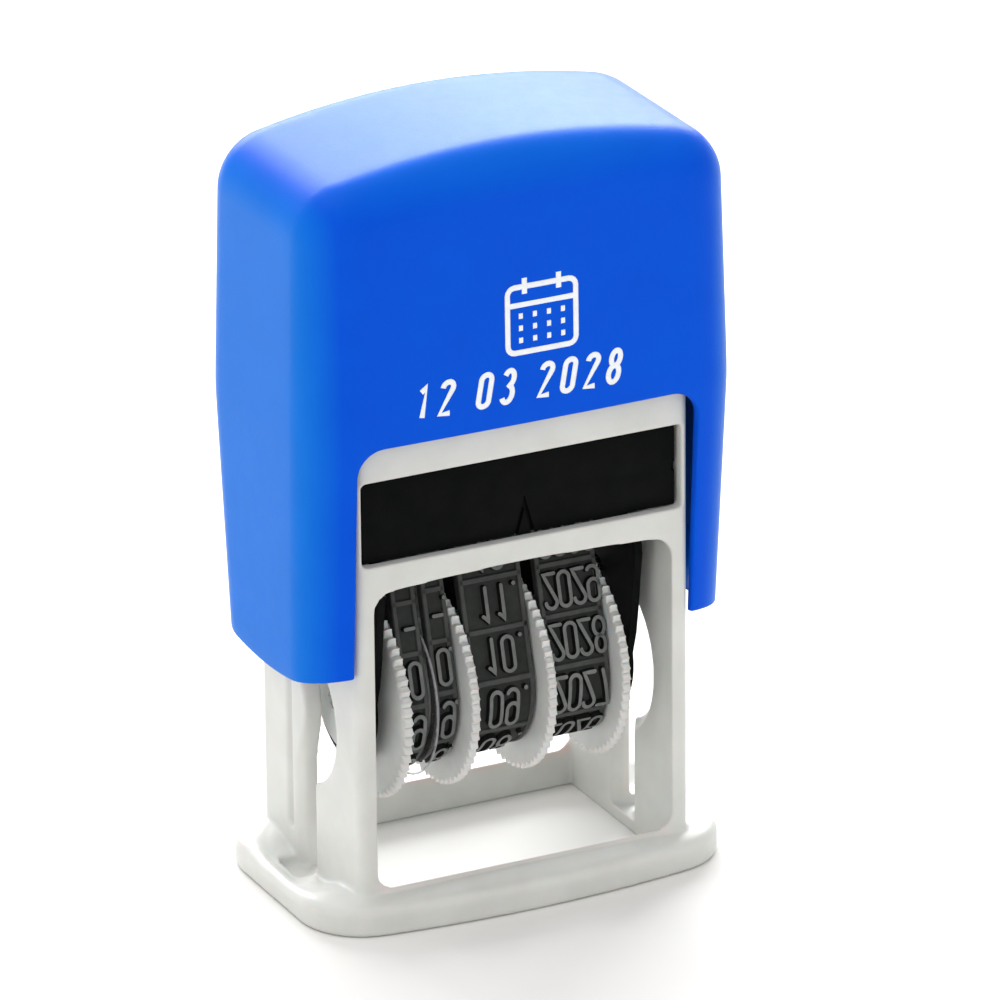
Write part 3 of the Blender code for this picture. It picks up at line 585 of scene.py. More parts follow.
def frame_cutters():
    wide = FRAME_INNER_HALF[0]
    deep = 20 * MM
    low, high = WINDOW_Z
    opening = arched_opening(wide, -1 * MM, OPENING_TOP, OPENING_CORNER, OPENING_CROWN)
    sill = arched_opening(wide, SILL_TOP, OPENING_TOP, OPENING_CORNER, OPENING_CROWN, 1.7 * MM)
    window = rounded_rectangle(WINDOW_HALF_WIDTH, (high - low) / 2, 0.4 * MM, 0.0, 4, 4, 2)
    window = [(x, z + (low + high) / 2) for x, z in window]
    well_x, well_y = NECK_HALF[0] - WELL_WALL, NECK_HALF[1] - WELL_WALL
    chamber_low = (-wide, -FRAME_INNER_HALF[1], OPENING_TOP - OPENING_CORNER - 1 * MM)
    cutters = [
        slot_cutter(-1, SLOT_LEFT),
        slot_cutter(1, SLOT_RIGHT),
        prism("aperture_cut", [opening], AXIS_Y, -APERTURE_HALF_DEPTH, APERTURE_HALF_DEPTH),
        prism("sill_cut", [sill], AXIS_Y, -deep, deep),
        box("chamber_cut", chamber_low, (wide, FRAME_INNER_HALF[1], high)),
        prism("window_cut", [window], AXIS_Y, -deep, deep),
        box("well_cut", (-well_x, -well_y, WELL_FLOOR), (well_x, well_y, NECK_TOP + deep)),
    ]
    for side in (-1, 1):
        outer = side * (FRAME_HALF[0] + 1 * MM)
        inner = side * (FRAME_HALF[0] - GROOVE_DEPTH)
        cutters.append(box(
            "groove_cut", (min(inner, outer), GROOVE_Y - GROOVE_WIDTH / 2, 4.6 * MM),
            (max(inner, outer), GROOVE_Y + GROOVE_WIDTH / 2, PANEL_TOP + 2 * MM)))
    return cutters


def make_frame():
    item = frame_tube()
    combine(item, "UNION", base_ring())
    combine(item, "DIFFERENCE", *frame_cutters())
    post = rod("post", BOSS_RADIUS, (0, 0, WELL_FLOOR - 0.4 * MM), (0, 0, GUIDE_POST_TOP), "Z")
    combine(item, "UNION", post)
    soften(item, 0.2 * MM, 5)
    paint(item, FRAME_GREY)
    settle(item, "frame", "frame_plastic", "frame")


# ---- cap and spring


def cap_half(height):
    """The cap's half width and half depth at a height, with a soft crease."""
    spread = 0.7 * MM
    share_low = (height - CAP_BOTTOM) / (CREASE - CAP_BOTTOM)
    share_high = (height - CREASE) / (CAP_TOP - CAP_EDGE - CREASE)
    half = []
    for low, crease, high in zip(CAP_BOTTOM_HALF, CAP_CREASE_HALF, CAP_SHOULDER_HALF):
        below = low + (crease - low) * share_low
        above = crease + (high - crease) * share_high
        slope = (crease - low) / (CREASE - CAP_BOTTOM) + (crease - high) / (CAP_TOP - CAP_EDGE - CREASE)
        soft = spread * slope
        gap = below - above
        half.append((below + above - math.sqrt(gap * gap + soft * soft)) / 2)
    return half


def cap_surface():
    arch = 0.5 / CAP_ARCH_RADIUS
    shoulder = CAP_TOP - CAP_EDGE
    rings = []

    def ring(height, half, inset, bend):
        corner = max(CAP_CORNER - inset, 0.5 * MM)
        outline = rounded_rectangle(half[0] - inset, half[1] - inset, corner, CAP_BOW, 12, 22, 6)
        rings.append([(x, y, height - bend * x * x) for x, y in outline])

    heights = [CAP_BOTTOM + (CREASE - 3 * MM - CAP_BOTTOM) * i / 10 for i in range(11)]
    heights += [CREASE + step * MM for step in (-2.2, -1.5, -1, -0.6, -0.3, 0, 0.3, 0.6, 1, 1.5, 2.2, 3.2)]
    for height in heights:
        ring(height, cap_half(height), 0, 0.0)
    steps = 8
    for i in range(1, steps + 1):
        height = CREASE + 3.2 * MM + (shoulder - CREASE - 3.2 * MM) * i / steps
        ring(height, cap_half(height), 0, arch * i / steps)
    for i in range(1, 13):
        angle = math.radians(90 * i / 12)
        inset = CAP_EDGE * (1 - math.cos(angle))
        ring(shoulder + CAP_EDGE * math.sin(angle), cap_half(shoulder), inset, arch)
    for i in range(1, 9):
        ring(CAP_TOP, cap_half(shoulder), CAP_EDGE + 6.6 * MM * i / 8, arch)
    return loft("blue_cap", rings, open_bottom=True, mirror_top=True)


def cutout_outline():
    foot = LEG_BOTTOM + LEG_CORNER
    points = arched_opening(CUTOUT_HALF_WIDTH, foot, CUTOUT_TOP, CUTOUT_CORNER, 0.0)[:-2]
    points += arc((-CUTOUT_HALF_WIDTH - LEG_CORNER, foot), LEG_CORNER, 0, -80, 8)
    points += [(-CUTOUT_HALF_WIDTH, CAP_BOTTOM - 2 * MM), (CUTOUT_HALF_WIDTH, CAP_BOTTOM - 2 * MM)]
    points += arc((CUTOUT_HALF_WIDTH + LEG_CORNER, foot), LEG_CORNER, 260, 180, 8)
    return points


def make_cap():
    item = cap_surface()
    skin = item.modifiers.new("wall", "SOLIDIFY")
    skin.thickness = CAP_WALL
    skin.offset = -1.0
    skin.use_even_offset = True
    deep = 20 * MM
    rise = arc((0.0, LEG_BOTTOM + LEG_ARCH_RADIUS), LEG_ARCH_RADIUS, 248, 292, 40)
    below = [*rise, (rise[-1][0], CAP_BOTTOM - 2 * MM), (rise[0][0], CAP_BOTTOM - 2 * MM)]
    reach = CAP_BOTTOM_HALF[0] + deep
    combine(item, "DIFFERENCE", prism("cutout_cut", [cutout_outline()], AXIS_Y, -deep, deep),
            prism("leg_cut", [below], AXIS_X, -reach, reach))
    tidy = bmesh.new()
    tidy.from_mesh(item.data)
    bmesh.ops.remove_doubles(tidy, verts=tidy.verts, dist=0.04 * MM)
    tidy.to_mesh(item.data)
    tidy.free()
    bevel(item, 0.22 * MM, 3, 50, False)
    apply_modifiers(item)
    for side, name in ((-1, "left"), (1, "right")):
        socket = rod("socket_" + name, SOCKET_RADIUS, (side * SOCKET_INNER, 0, PIVOT_Z),
                     (side * (CAP_BOTTOM_HALF[0] - 0.5 * MM), 0, PIVOT_Z), "X")
        bore = rod("bore_" + name, BORE_RADIUS, (side * (SOCKET_INNER - 1 * MM), 0, PIVOT_Z),
                   (side * BORE_END, 0, PIVOT_Z), "X")
        combine(item, "UNION", socket)
        combine(item, "DIFFERENCE", bore)
    combine(item, "UNION", rod("boss", BOSS_RADIUS, (0, 0, BOSS_BOTTOM), (0, 0, CAP_TOP - CAP_WALL / 2), "Z"))
    item.data.shade_smooth()
    item.data.set_sharp_from_angle(angle=math.radians(38))
    paint(item, CAP_BLUE)
    settle(item, "cap", "cap_plastic", "cap_shell")


def make_spring():
    low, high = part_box("return_spring")
    wire = 0.35 * MM
    turns = 8
    per_turn = 28
    bottom, top = low.z + wire, high.z - wire
    radius = (high.x - low.x) / 2 - wire
    curve = bpy.data.curves.new("coil_spring", "CURVE")
    curve.dimensions = "3D"
    curve.bevel_depth = wire * 0.97
    curve.bevel_resolution = 4
    curve.use_fill_caps = True
    spline = curve.splines.new("POLY")
    spline.points.add(turns * per_turn)
    for i, point in enumerate(spline.points):
        angle = 2 * math.pi * i / per_turn
        along = i / (turns * per_turn)
        rise = along - math.sin(2 * math.pi * along) / (2 * math.pi) * 0.35
        point.co = (radius * math.cos(angle), radius * math.sin(angle), bottom + (top - bottom) * rise, 1.0)
    guide = link_object("coil_spring", curve)
    mesh = bpy.data.meshes.new_from_object(guide)
    bpy.data.objects.remove(guide)
    item = link_object("coil_spring", mesh)
    item.data.shade_smooth()
    paint(item, SPRING_STEEL)
    settle(item, "frame", "steel", "return_spring")
    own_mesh(item)


# ---- ink pad


def make_pad():
    low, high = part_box("ink_pad_cartridge")
    pad_low, pad_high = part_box("ink_pad")
    gap = 0.3 * MM
    notch = 0.35 * MM
    tip_x, tip_z, slope, line = 0.5 * MM, 39.05 * MM, 0.28, 0.35 * MM
    case = box("cartridge", (low.x, low.y, low.z - 0.12 * MM), high)
    bevel(case, 0.15 * MM, 3)
    apply_modifiers(case)
    foot = low.z - 1 * MM
    reach = (tip_z - foot) * slope
    across = line * math.sqrt(1 + slope**2)
    chevron = [(tip_x - reach, foot), (tip_x - reach + across, foot), (tip_x, tip_z - across / slope),
               (tip_x + reach - across, foot), (tip_x + reach, foot), (tip_x, tip_z)]
    combine(
        case, "DIFFERENCE",
        box("recess", (pad_low.x - gap, pad_low.y - gap, low.z - 1 * MM), (pad_high.x + gap, pad_high.y + gap,
                                                                         pad_high.z + gap)),
        prism("arrow_cut", [chevron], AXIS_Y, low.y - 1 * MM, low.y + 0.35 * MM),
        box("grip_cut", (high.x - notch, low.y - 1 * MM, high.z - 4.4 * MM),
            (high.x + 1 * MM, low.y + 0.3 * MM, high.z - 3.6 * MM)))
    bevel(case, 0.06 * MM, 2, 40)
    apply_modifiers(case)
    case.data.shade_smooth()
    case.data.set_sharp_from_angle(angle=math.radians(40))
    paint(case, CASE_BLACK)
    settle(case, "pad_drawer", "cartridge_plastic", "ink_pad_cartridge")

    # the pad: flat top in the case, slightly crowned working face with soft rims
    columns, rows = 44, 28
    middle = (pad_low + pad_high) / 2
    half = (pad_high - pad_low) / 2
    shape = bmesh.new()
    bmesh.ops.create_grid(shape, x_segments=columns, y_segments=rows, size=0.5)
    top = bmesh.ops.duplicate(shape, geom=shape.verts[:] + shape.edges[:] + shape.faces[:])["geom"]
    upper = {v for v in top if isinstance(v, bmesh.types.BMVert)}
    for vert in shape.verts:
        across, deep = vert.co.x * 2, vert.co.y * 2
        if vert in upper:
            height = pad_high.z
        else:
            edge = max(abs(across), abs(deep)) ** 10
            wave = 0.02 * math.sin(across * 9.0) * math.cos(deep * 7.0)
            height = pad_low.z + (0.6 * edge + 0.06 * (across * across + deep * deep) / 2 + 0.02 + wave) * MM
        pinch = 1 - 0.012 * (abs(across * deep) ** 6)
        vert.co = (middle.x + across * half.x * pinch, middle.y + deep * half.y * pinch, height)
    rims = [e for e in shape.edges if e.is_boundary]
    bmesh.ops.bridge_loops(shape, edges=rims)
    item = new_object("inked_felt", shape, 60)
    paint(item, FELT)
    settle(item, "pad_drawer", "felt", "ink_pad")


# ---- setting wheels


def make_wheels():
    """Serrated wheels with bead-like teeth, chamfered on both faces, each on its band's drum."""
    per_tooth = 8
    count = TOOTH_COUNT * per_tooth
    for column in ("day_tens", "day_units", "month", "year"):
        low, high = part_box("setting_wheel_" + column)
        band_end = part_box("date_band_" + column)[1].x
        if high.x - band_end < WHEEL_THICKNESS / 2:
            disc_face, inward, drum_end = low.x, 1, high.x
        else:
            disc_face, inward, drum_end = high.x, -1, low.x
        stations = [(disc_face + inward * across * MM, *rest) for across, *rest in WHEEL_STATIONS]
        stations += [(drum_end, DRUM_RADIUS, 0.0), (drum_end, AXLE_BORE, 0.0)]
        shape = bmesh.new()
        rings = []
        for x, radius, share in stations:
            ring = []
            for i in range(count):
                phase = abs((i % per_tooth) / per_tooth * 2 - 1)
                r = radius * MM - TOOTH_DEPTH * share * (phase + 0.12 * math.sin(2 * math.pi * phase))
                angle = 2 * math.pi * i / count
                ring.append(shape.verts.new((x, r * math.cos(angle), WHEEL_Z + r * math.sin(angle))))
            rings.append(ring)
        for first, second in zip(rings, rings[1:] + rings[:1]):
            for i in range(count):
                j = (i + 1) % count
                shape.faces.new((first[i], first[j], second[j], second[i]))
        item = new_object("date_wheel_" + column, shape, 50)
        paint(item, WHEEL_GREY)
        settle(item, "wheel_" + column, "wheel_plastic", "setting_wheel_" + column)


# ---- date bands

BAND_MID_LIFT = 0.4 * MM
RN = BAND_INNER_RADIUS + BAND_MID_LIFT
CN = BAND_CORNER + BAND_MID_LIFT
CORNER_Z = TYPE_TOP - TYPE_RELIEF - BAND_THICKNESS - BAND_CORNER
RISE = CORNER_Z - WHEEL_Z
SPAN = math.hypot(BRIDGE_HALF_DEPTH, RISE)
TANGENT = math.asin((RN - CN) / SPAN) - math.atan2(BRIDGE_HALF_DEPTH, RISE)
RUN = math.sqrt(SPAN**2 - (RN - CN) ** 2)
LOOP = 2 * RUN + RN * (math.pi + 2 * TANGENT) + CN * (math.pi - 2 * TANGENT) + 2 * BRIDGE_HALF_DEPTH
CELLS = 12
PITCH = LOOP / CELLS
FLOOR_LIFT = BAND_THICKNESS - BAND_MID_LIFT
TYPE_LIFT = FLOOR_LIFT + TYPE_RELIEF
RAIL_LIFT = FLOOR_LIFT + 0.2 * MM
# how deep raised parts are rooted in the band
SINK = 0.05 * MM
# half widths of a stroke and radii of a dot, at the top and at the foot
STROKE_TOP = 0.17
STROKE_FOOT = 0.26
DOT_TOP = 0.2
DOT_FOOT = 0.27
RAIL_WIDTH = 0.42 * MM
DIVIDER_WIDTH = 0.5 * MM


def belt_point(along, lift):
    """(y, z) at a distance up the band from its front at axle height, lifted outwards."""
    along = along % LOOP
    first = RN * TANGENT
    corner = CN * (math.pi / 2 - TANGENT)
    legs = (first, RUN, corner, 2 * BRIDGE_HALF_DEPTH, corner, RUN)
    mark = 0.0
    part = 0
    while part < len(legs) and along > mark + legs[part]:
        mark += legs[part]
        part += 1
    rest = along - mark
    sin_t, cos_t = math.sin(TANGENT), math.cos(TANGENT)
    if part == 0:
        angle = along / RN
        return -(RN + lift) * math.cos(angle), WHEEL_Z + (RN + lift) * math.sin(angle)
    if part == 1:
        return (-(RN + lift) * cos_t + rest * sin_t, WHEEL_Z + (RN + lift) * sin_t + rest * cos_t)
    if part == 2:
        angle = TANGENT + rest / CN
        return (-BRIDGE_HALF_DEPTH - (CN + lift) * math.cos(angle), CORNER_Z + (CN + lift) * math.sin(angle))
    if part == 3:
        return -BRIDGE_HALF_DEPTH + rest, CORNER_Z + CN + lift
    if part == 4:
        angle = math.pi / 2 - rest / CN
        return (BRIDGE_HALF_DEPTH + (CN + lift) * math.cos(angle), CORNER_Z + (CN + lift) * math.sin(angle))
    if part == 5:
        top_y = BRIDGE_HALF_DEPTH + (CN + lift) * cos_t
        top_z = CORNER_Z + (CN + lift) * sin_t
        return top_y + rest * sin_t, top_z - rest * cos_t
    angle = TANGENT - rest / RN
    return (RN + lift) * math.cos(angle), WHEEL_Z + (RN + lift) * math.sin(angle)


def ellipse(center, half_width, half_height, start, end, steps=14):
    """Stroke points along part of an ellipse, in degrees."""
    turn = [math.radians(start + (end - start) * i / steps) for i in range(steps + 1)]
    return [(center[0] + half_width * math.cos(a), center[1] + half_height * math.sin(a)) for a in turn]


HALF_W = 0.55
HALF_H = 1.6


def glyph(mark):
    """(closed, points) strokes of a narrow one-line figure, in millimetres, centred."""
    bowl = HALF_H - HALF_W
    if mark == "0":
        points = ellipse((0, bowl), HALF_W, HALF_W, 0, 180) + ellipse((0, -bowl), HALF_W, HALF_W, 180, 360)
        return [(True, points)]
    if mark == "1":
        return [(False, [(-0.38, 1.0), (-0.14, 1.2), (0.1, HALF_H), (0.1, -HALF_H)])]
    if mark == "2":
        points = ellipse((0, bowl), HALF_W, HALF_W, 180, -30)
        return [(False, points + [(-HALF_W, -HALF_H), (HALF_W, -HALF_H)])]
    if mark == "3":
        points = ellipse((0, 0.84), 0.5, 0.76, 155, -85) + ellipse((0, -0.76), HALF_W, 0.84, 80, -155)
        return [(False, points)]
    if mark == "4":
        return [(False, [(0.26, -HALF_H), (0.26, HALF_H), (-HALF_W, -0.62), (HALF_W, -0.62)])]
    if mark == "5":
        points = [(0.48, HALF_H), (-0.44, HALF_H), (-0.48, 0.25)]
        return [(False, points + ellipse((0, -0.58), HALF_W, 1.02, 130, -150))]
    if mark in ("6", "9"):
        turn = 1 if mark == "6" else -1
        loop = ellipse((0, bowl - 1.2), HALF_W, HALF_W, 0, 180)
        loop += ellipse((0, -bowl), HALF_W, HALF_W, 180, 360)
        hook = [(-HALF_W, bowl - 1.2)] + ellipse((0, bowl), HALF_W, HALF_W, 180, 30)
        strokes = ((True, loop), (False, hook))
        return [(closed, [(x * turn, y * turn) for x, y in points]) for closed, points in strokes]
    if mark == "7":
        return [(False, [(-HALF_W, HALF_H), (HALF_W, HALF_H), (-0.1, -HALF_H)])]
    if mark == "8":
        upper = ellipse((0, 0.84), 0.48, 0.76, 0, 360, 24)[:-1]
        lower = ellipse((0, -0.76), HALF_W, 0.84, 0, 360, 24)[:-1]
        return [(True, upper), (True, lower)]
    if mark == "-":
        return [(False, [(-0.42, 0.0), (0.0, 0.0), (0.42, 0.0)])]
    return []


class Band:
    """Collects one band's faces: 0 floor, 1 rails and bars, 2 type tops, 3 type sides; rails, bars and type
    tops take painted-light rubber, type sides painted-shade rubber.
    """

    def __init__(self):
        self.shape = bmesh.new()

    def point(self, x, along, lift):
        y, z = belt_point(along, lift)
        return self.shape.verts.new((x, y, z))

    def face(self, verts, index):
        made = self.shape.faces.new(verts)
        made.material_index = index

    def tube(self, rows, index, closed=True):
        """Skins rows of cross-section points."""
        pairs = list(zip(rows, rows[1:] + rows[:1] if closed else rows[1:]))
        for first, second in pairs:
            count = len(first)
            for k in range(count):
                m = (k + 1) % count
                self.face((first[k], first[m], second[m], second[k]), index)
        if not closed:
            self.face(rows[0][::-1], index)
            self.face(rows[-1], index)

    def strip(self, left, right, lift_low, lift_high, index, shoulder):
        """A band right round the loop with chamfered shoulders."""
        rows = []
        steps = 260
        for i in range(steps):
            along = LOOP * i / steps
            rows.append([self.point(left, along, lift_low), self.point(left, along, lift_high - shoulder),
                         self.point(left + shoulder, along, lift_high),
                         self.point(right - shoulder, along, lift_high),
                         self.point(right, along, lift_high - shoulder), self.point(right, along, lift_low)])
        self.tube(rows, index)

    def bar(self, left, right, middle, width, lift_low, lift_high, index):
        """A cross bar between two cells, with chamfered shoulders."""
        shoulder = 0.07 * MM
        offsets = (-width / 2, -width / 2 + shoulder, width / 2 - shoulder, width / 2)
        lifts = (lift_high - shoulder, lift_high, lift_high, lift_high - shoulder)
        sections = []
        for x in (left, right):
            ring = [self.point(x, middle - width / 2, lift_low)]
            ring += [self.point(x, middle + step, lift) for step, lift in zip(offsets, lifts)]
            ring.append(self.point(x, middle + width / 2, lift_low))
            sections.append(ring)
        self.tube(sections, index, closed=False)

    def stroke(self, x, middle, closed, points):
        """A raised line with drafted sides and round ends."""
        top, foot = STROKE_TOP, STROKE_FOOT
        base_lift = FLOOR_LIFT - SINK
        dense = []
        pairs = list(zip(points, points[1:] + points[:1] if closed else points[1:]))
        for (ax, ay), (bx, by) in pairs:
            length = math.hypot(bx - ax, by - ay)
            cuts = max(1, round(length / 0.45))
            dense += [(ax + (bx - ax) * i / cuts, ay + (by - ay) * i / cuts) for i in range(cuts)]
        if not closed:
            dense.append(points[-1])
        rows = []
        count = len(dense)

        def put(px, py, lift):
            return self.point(x + px * MM, middle - py * MM, lift)

        for i, (px, py) in enumerate(dense):
            if closed:
                before, after = dense[i - 1], dense[(i + 1) % count]
            else:
                before, after = dense[max(i - 1, 0)], dense[min(i + 1, count - 1)]
            first = self.heading(before, (px, py)) if before != (px, py) else None
            second = self.heading((px, py), after) if after != (px, py) else None
            first, second = first or second, second or first
            nx, ny = -(first[1] + second[1]), first[0] + second[0]
            size = math.hypot(nx, ny) or 1.0
            nx, ny = nx / size, ny / size
            stretch = 1 / max(nx * -first[1] + ny * first[0], 0.75)
            row = []
            for reach, lift in ((foot, base_lift), (top, TYPE_LIFT), (-top, TYPE_LIFT), (-foot, base_lift)):
                row.append(put(px + nx * reach * stretch, py + ny * reach * stretch, lift))
            rows.append(row)
        self.tube_open_base(rows, closed)
        if not closed:
            for end, inner in ((dense[0], dense[1]), (dense[-1], dense[-2])):
                out = self.heading(inner, end)
                self.round_end(put, end, out, top, foot, base_lift)

    @staticmethod
    def heading(start, end):
        size = math.hypot(end[0] - start[0], end[1] - start[1]) or 1.0
        return ((end[0] - start[0]) / size, (end[1] - start[1]) / size)

    def tube_open_base(self, rows, closed):
        pairs = list(zip(rows, rows[1:] + rows[:1] if closed else rows[1:]))
        for first, second in pairs:
            for k, index in ((0, 3), (1, 2), (2, 3)):
                self.face((first[k], first[k + 1], second[k + 1], second[k]), index)

    def round_end(self, put, end, out, top, foot, base_lift):
        """Half of a drafted round stud at the end of a stroke."""
        steps = 6
        start = math.atan2(out[1], out[0]) - math.pi / 2
        upper, lower = [], []
        for i in range(steps + 1):
            angle = start + math.pi * i / steps
            cx, cy = math.cos(angle), math.sin(angle)
            upper.append(put(end[0] + cx * top, end[1] + cy * top, TYPE_LIFT))
            lower.append(put(end[0] + cx * foot, end[1] + cy * foot, base_lift))
        self.face(upper, 2)
        for i in range(steps):
            self.face((lower[i], lower[i + 1], upper[i + 1], upper[i]), 3)

    def dot(self, x, middle, px, py):
        """A raised full stop."""
        steps = 14
        upper, lower = [], []
        for i in range(steps):
            angle = 2 * math.pi * i / steps
            cx, cy = math.cos(angle), math.sin(angle)
            for ring, radius, lift in ((upper, DOT_TOP, TYPE_LIFT), (lower, DOT_FOOT, FLOOR_LIFT - SINK)):
                ring.append(self.point(x + (px + cx * radius) * MM, middle - (py + cy * radius) * MM, lift))
        self.face(upper, 2)
        for i in range(steps):
            j = (i + 1) % steps
            self.face((lower[i], lower[j], upper[j], upper[i]), 3)


def column_marks(column):
    """(text, cells above the one at the front) for each cell."""
    if column == "month":
        return [("%02d." % (10 + k), k) for k in range(-9, 3)]
    if column == "year":
        return [(str(2028 + k), k) for k in range(-5, 7)]
    marks = [(str(10 + k), k) for k in range(-9, 0)] + [("0", 0), ("-", 1)]
    if column == "day_units":
        marks = [(mark + ".", k) for mark, k in marks]
    return marks


# column: place of the front cell along the band, then, from the band's middle, the figures and the dot
COLUMN_LAYOUT = {
    "day_tens": (3.15, (0.12,), 0.0),
    "day_units": (3.85, (0.03,), 0.84),
    "month": (3.9, (-0.9, 0.74), 2.1),
    "year": (4.0, (-2.02, -0.56, 0.9, 2.36), 0.0),
}


def make_bands():
    """Date bands with rails, cell bars and raised type."""
    for column, (phase, places, dot_place) in COLUMN_LAYOUT.items():
        low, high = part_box("date_band_" + column)
        middle = (low.x + high.x) / 2
        band = Band()
        band.strip(low.x, high.x, -BAND_MID_LIFT, FLOOR_LIFT, 0, 0.05 * MM)
        for left in (low.x, high.x - RAIL_WIDTH):
            band.strip(left, left + RAIL_WIDTH, FLOOR_LIFT - SINK, RAIL_LIFT, 1, 0.06 * MM)
        for k in range(CELLS):
            edge = phase * MM + (k + 0.5) * PITCH
            band.bar(low.x + SINK, high.x - SINK, edge, DIVIDER_WIDTH, FLOOR_LIFT - SINK, RAIL_LIFT, 1)
        for text, k in column_marks(column):
            along = phase * MM + k * PITCH
            figures = text.rstrip(".")
            for mark, place in zip(figures, places):
                for closed, points in glyph(mark):
                    band.stroke(middle + place * MM, along, closed, points)
            if text.endswith("."):
                band.dot(middle, along, dot_place, -HALF_H + 0.05)
        item = new_object("rubber_band_" + column, band.shape, 40)
        # painted light and shade: rails, bars and type tops get lighter copies of the rubber, and the type
        # sides get a near-black copy
        paint(item, RUBBER_FLOOR, LIT_RUBBER_RAIL, LIT_RUBBER_TYPE, SHADED_RUBBER_SIDE)
        settle(item, "print_unit", "band_rubber", "date_band_" + column)


# ---- print on the cap

PRINT_LINE = 0.27 * MM
SHEET_MIDDLE = (1.2, 57.0)
SHEET_HALF = (3.4, 3.1)
DATE_START = (-10.6, 50.9)
DATE_SIZE = 0.92
DATE_SHEAR = 0.18


def cap_front(x, z):
    """The cap's half depth on its front face."""
    half_x, half_y = cap_half(z)
    return half_y + CAP_BOW * (1 - (x / (half_x - CAP_CORNER)) ** 2)


def make_print():
    """A white calendar sheet and a plain number, printed on the cap's front."""
    wide, high = SHEET_HALF
    mid_x, mid_z = SHEET_MIDDLE
    strokes = [(True, [(mid_x + x, mid_z + z) for x, z in rounded_rectangle(wide, high, 0.7, 0.0, 4, 4, 2)])]
    strokes.append((False, [(mid_x - wide, mid_z + high - 1.7), (mid_x + wide, mid_z + high - 1.7)]))
    for x in (-1.7, 1.7):
        strokes.append((False, [(mid_x + x, mid_z + high - 0.7), (mid_x + x, mid_z + high + 0.8)]))
    for row in range(3):
        for column in range(4):
            x, z = mid_x - 2.1 + 1.4 * column, mid_z + 0.35 - 1.15 * row
            strokes.append((False, [(x - 0.2, z), (x + 0.2, z)]))
    x, z = DATE_START
    for mark in "12 03 2028":
        for closed, points in glyph(mark):
            slanted = [(x + (px + py * DATE_SHEAR) * DATE_SIZE, z + py * DATE_SIZE) for px, py in points]
            strokes.append((closed, slanted))
        x += 2.5 * DATE_SIZE if mark != " " else 1.6 * DATE_SIZE
    curve = bpy.data.curves.new("cap_print", "CURVE")
    curve.dimensions = "3D"
    curve.bevel_depth = PRINT_LINE
    curve.bevel_resolution = 2
    curve.use_fill_caps = True
    for closed, points in strokes:
        spline = curve.splines.new("POLY")
        spline.points.add(len(points) - 1)
        for point, (x, z) in zip(spline.points, points):
            point.co = (x * MM, 0.0, z * MM, 1.0)
        spline.use_cyclic_u = closed
    guide = link_object("cap_print", curve)
    mesh = bpy.data.meshes.new_from_object(guide)
    bpy.data.objects.remove(guide)
    for vert in mesh.vertices:
        x, y, z = vert.co
        vert.co.y = -cap_front(x, z) + y * 0.1
    mesh.shade_smooth()
    item = link_object("cap_print", mesh)
    paint(item, PRINT_WHITE)
    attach(item, "cap")


# ---- carried-over CAD pieces


def dress_cad():
    """Better finishes and soft edges on the CAD pieces whose shape is right."""
    finishes = {
        "carrier_left_plate": CARRIER_BLACK, "carrier_right_plate": CARRIER_BLACK,
        "type_bridge": CARRIER_BLACK, "carrier_tie_bar": STEEL, "wheel_axle": STEEL,
        "trunnion_left": STEEL, "trunnion_right": STEEL,
        "axle_clip_left": WHEEL_GREY, "axle_clip_right": WHEEL_GREY, "band_divider": FILM,
    }
    for name, material in finishes.items():
        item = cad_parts[name]
        for slot in item.material_slots:
            slot.material = material
        if name == "band_divider":
            continue
        weld = item.modifiers.new("weld", "WELD")
        weld.merge_threshold = 0.001 * MM
        bevel(item, 0.12 * MM, 2, 30)


# ---- studio


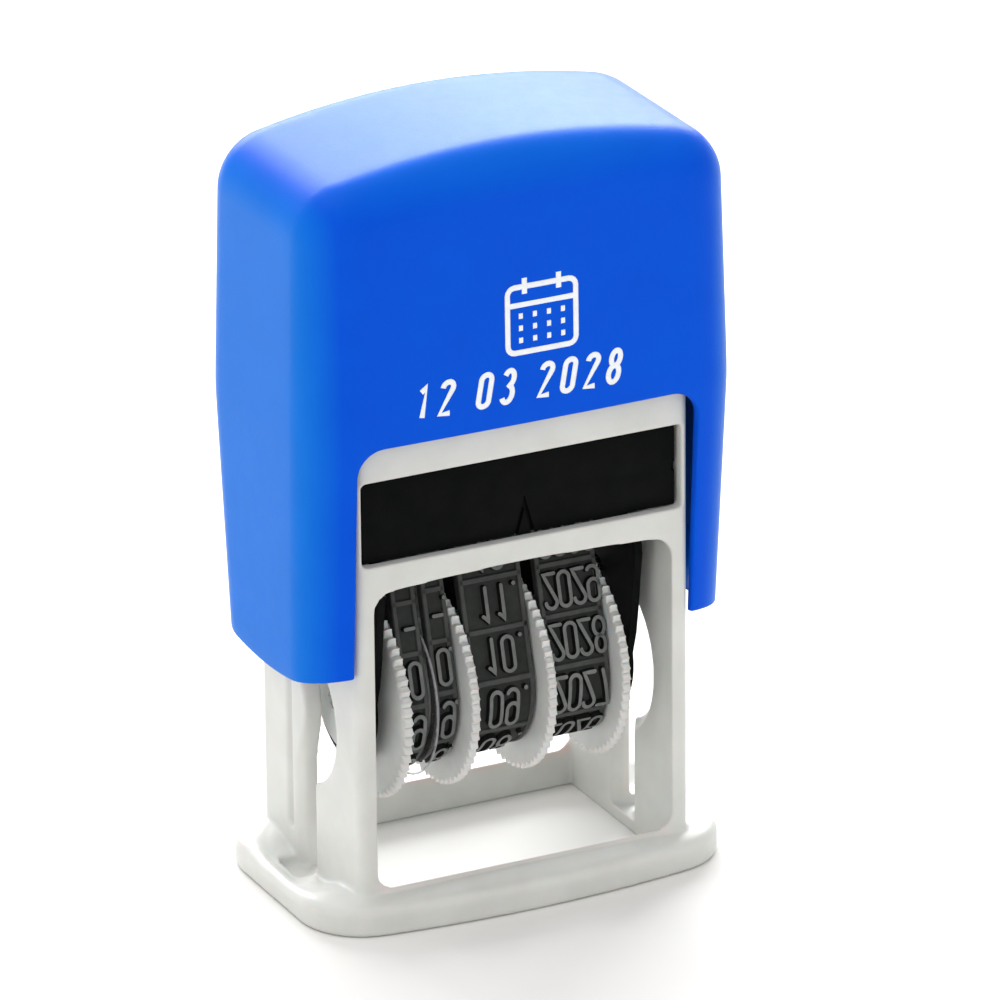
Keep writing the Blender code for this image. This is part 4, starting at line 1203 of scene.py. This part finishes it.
def add_camera():
    """The viewing angle: from the left, above the front, with a long lens."""
    azimuth, elevation, roll = math.radians(26.08), math.radians(22.11), math.radians(-0.59)
    distance = 830.94 * MM
    back = Vector((-math.sin(azimuth) * math.cos(elevation), -math.cos(azimuth) * math.cos(elevation),
                   math.sin(elevation)))
    right = Vector((math.cos(azimuth), -math.sin(azimuth), 0))
    up = back.cross(right)
    right, up = (right * math.cos(roll) + up * math.sin(roll),
                 up * math.cos(roll) - right * math.sin(roll))
    target = Vector((0, 0, 35 * MM))
    place = target + back * distance
    look = place - (target + right * 2.48 * MM + up * 0.23 * MM)
    look.normalize()
    side = up.cross(look).normalized()
    turn = Matrix((side, look.cross(side), look)).transposed()
    data = bpy.data.cameras.new("camera")
    data.lens = 329.04
    data.sensor_width = 36
    data.clip_start = 0.05
    data.clip_end = 20
    camera = link_object("camera", data)
    camera.matrix_world = Matrix.Translation(place) @ turn.to_4x4()
    bpy.context.scene.camera = camera


def add_light(name, place, size, power, color=(1, 1, 1), aim=(0, 0, 0.035)):
    data = bpy.data.lights.new(name, "AREA")
    data.shape = "RECTANGLE"
    data.size, data.size_y = size
    data.energy = power
    data.color = color
    item = link_object(name, data)
    item.location = place
    item.rotation_euler = (Vector(aim) - Vector(place)).to_track_quat("-Z", "Y").to_euler()


def make_studio():
    side = 3.0
    shape = bmesh.new()
    bmesh.ops.create_grid(shape, x_segments=1, y_segments=1, size=side)
    floor = new_object("floor", shape, 0)
    floor.location = (0, 0, -0.02 * MM)
    nodes = Nodes("floor_paper", Roughness=0.9, Specular_IOR_Level=0.2)
    cloud = nodes.noise(20 * MM, 3.0)
    tint = nodes.blend(nodes.spread(cloud, 0, 1), (0.76, 0.75, 0.73), (0.79, 0.78, 0.76))
    nodes.link(tint, nodes.shader.inputs["Base Color"])
    paint(floor, nodes.material)

    world = bpy.data.worlds.new("studio")
    bpy.context.scene.world = world
    world.use_nodes = True
    background = world.node_tree.nodes["Background"]
    background.inputs["Color"].default_value = (1, 1, 1, 1)
    background.inputs["Strength"].default_value = 0.88
    add_light("top", (-0.25, 0.15, 0.85), (0.7, 0.7), 2.5, (1.0, 0.985, 0.965))
    add_light("front", (-0.55, -0.55, 0.25), (1.0, 0.8), 0.9, (1.0, 1.0, 1.0))
    add_light("back", (0.30, 0.78, 0.42), (1.0, 0.5), 19.0, (0.97, 0.985, 1.0))
    bpy.context.scene.view_settings.view_transform = "Standard"


add_camera()
make_studio()
make_frame()
make_cap()
make_print()
make_spring()
make_pad()
make_wheels()
make_bands()
dress_cad()
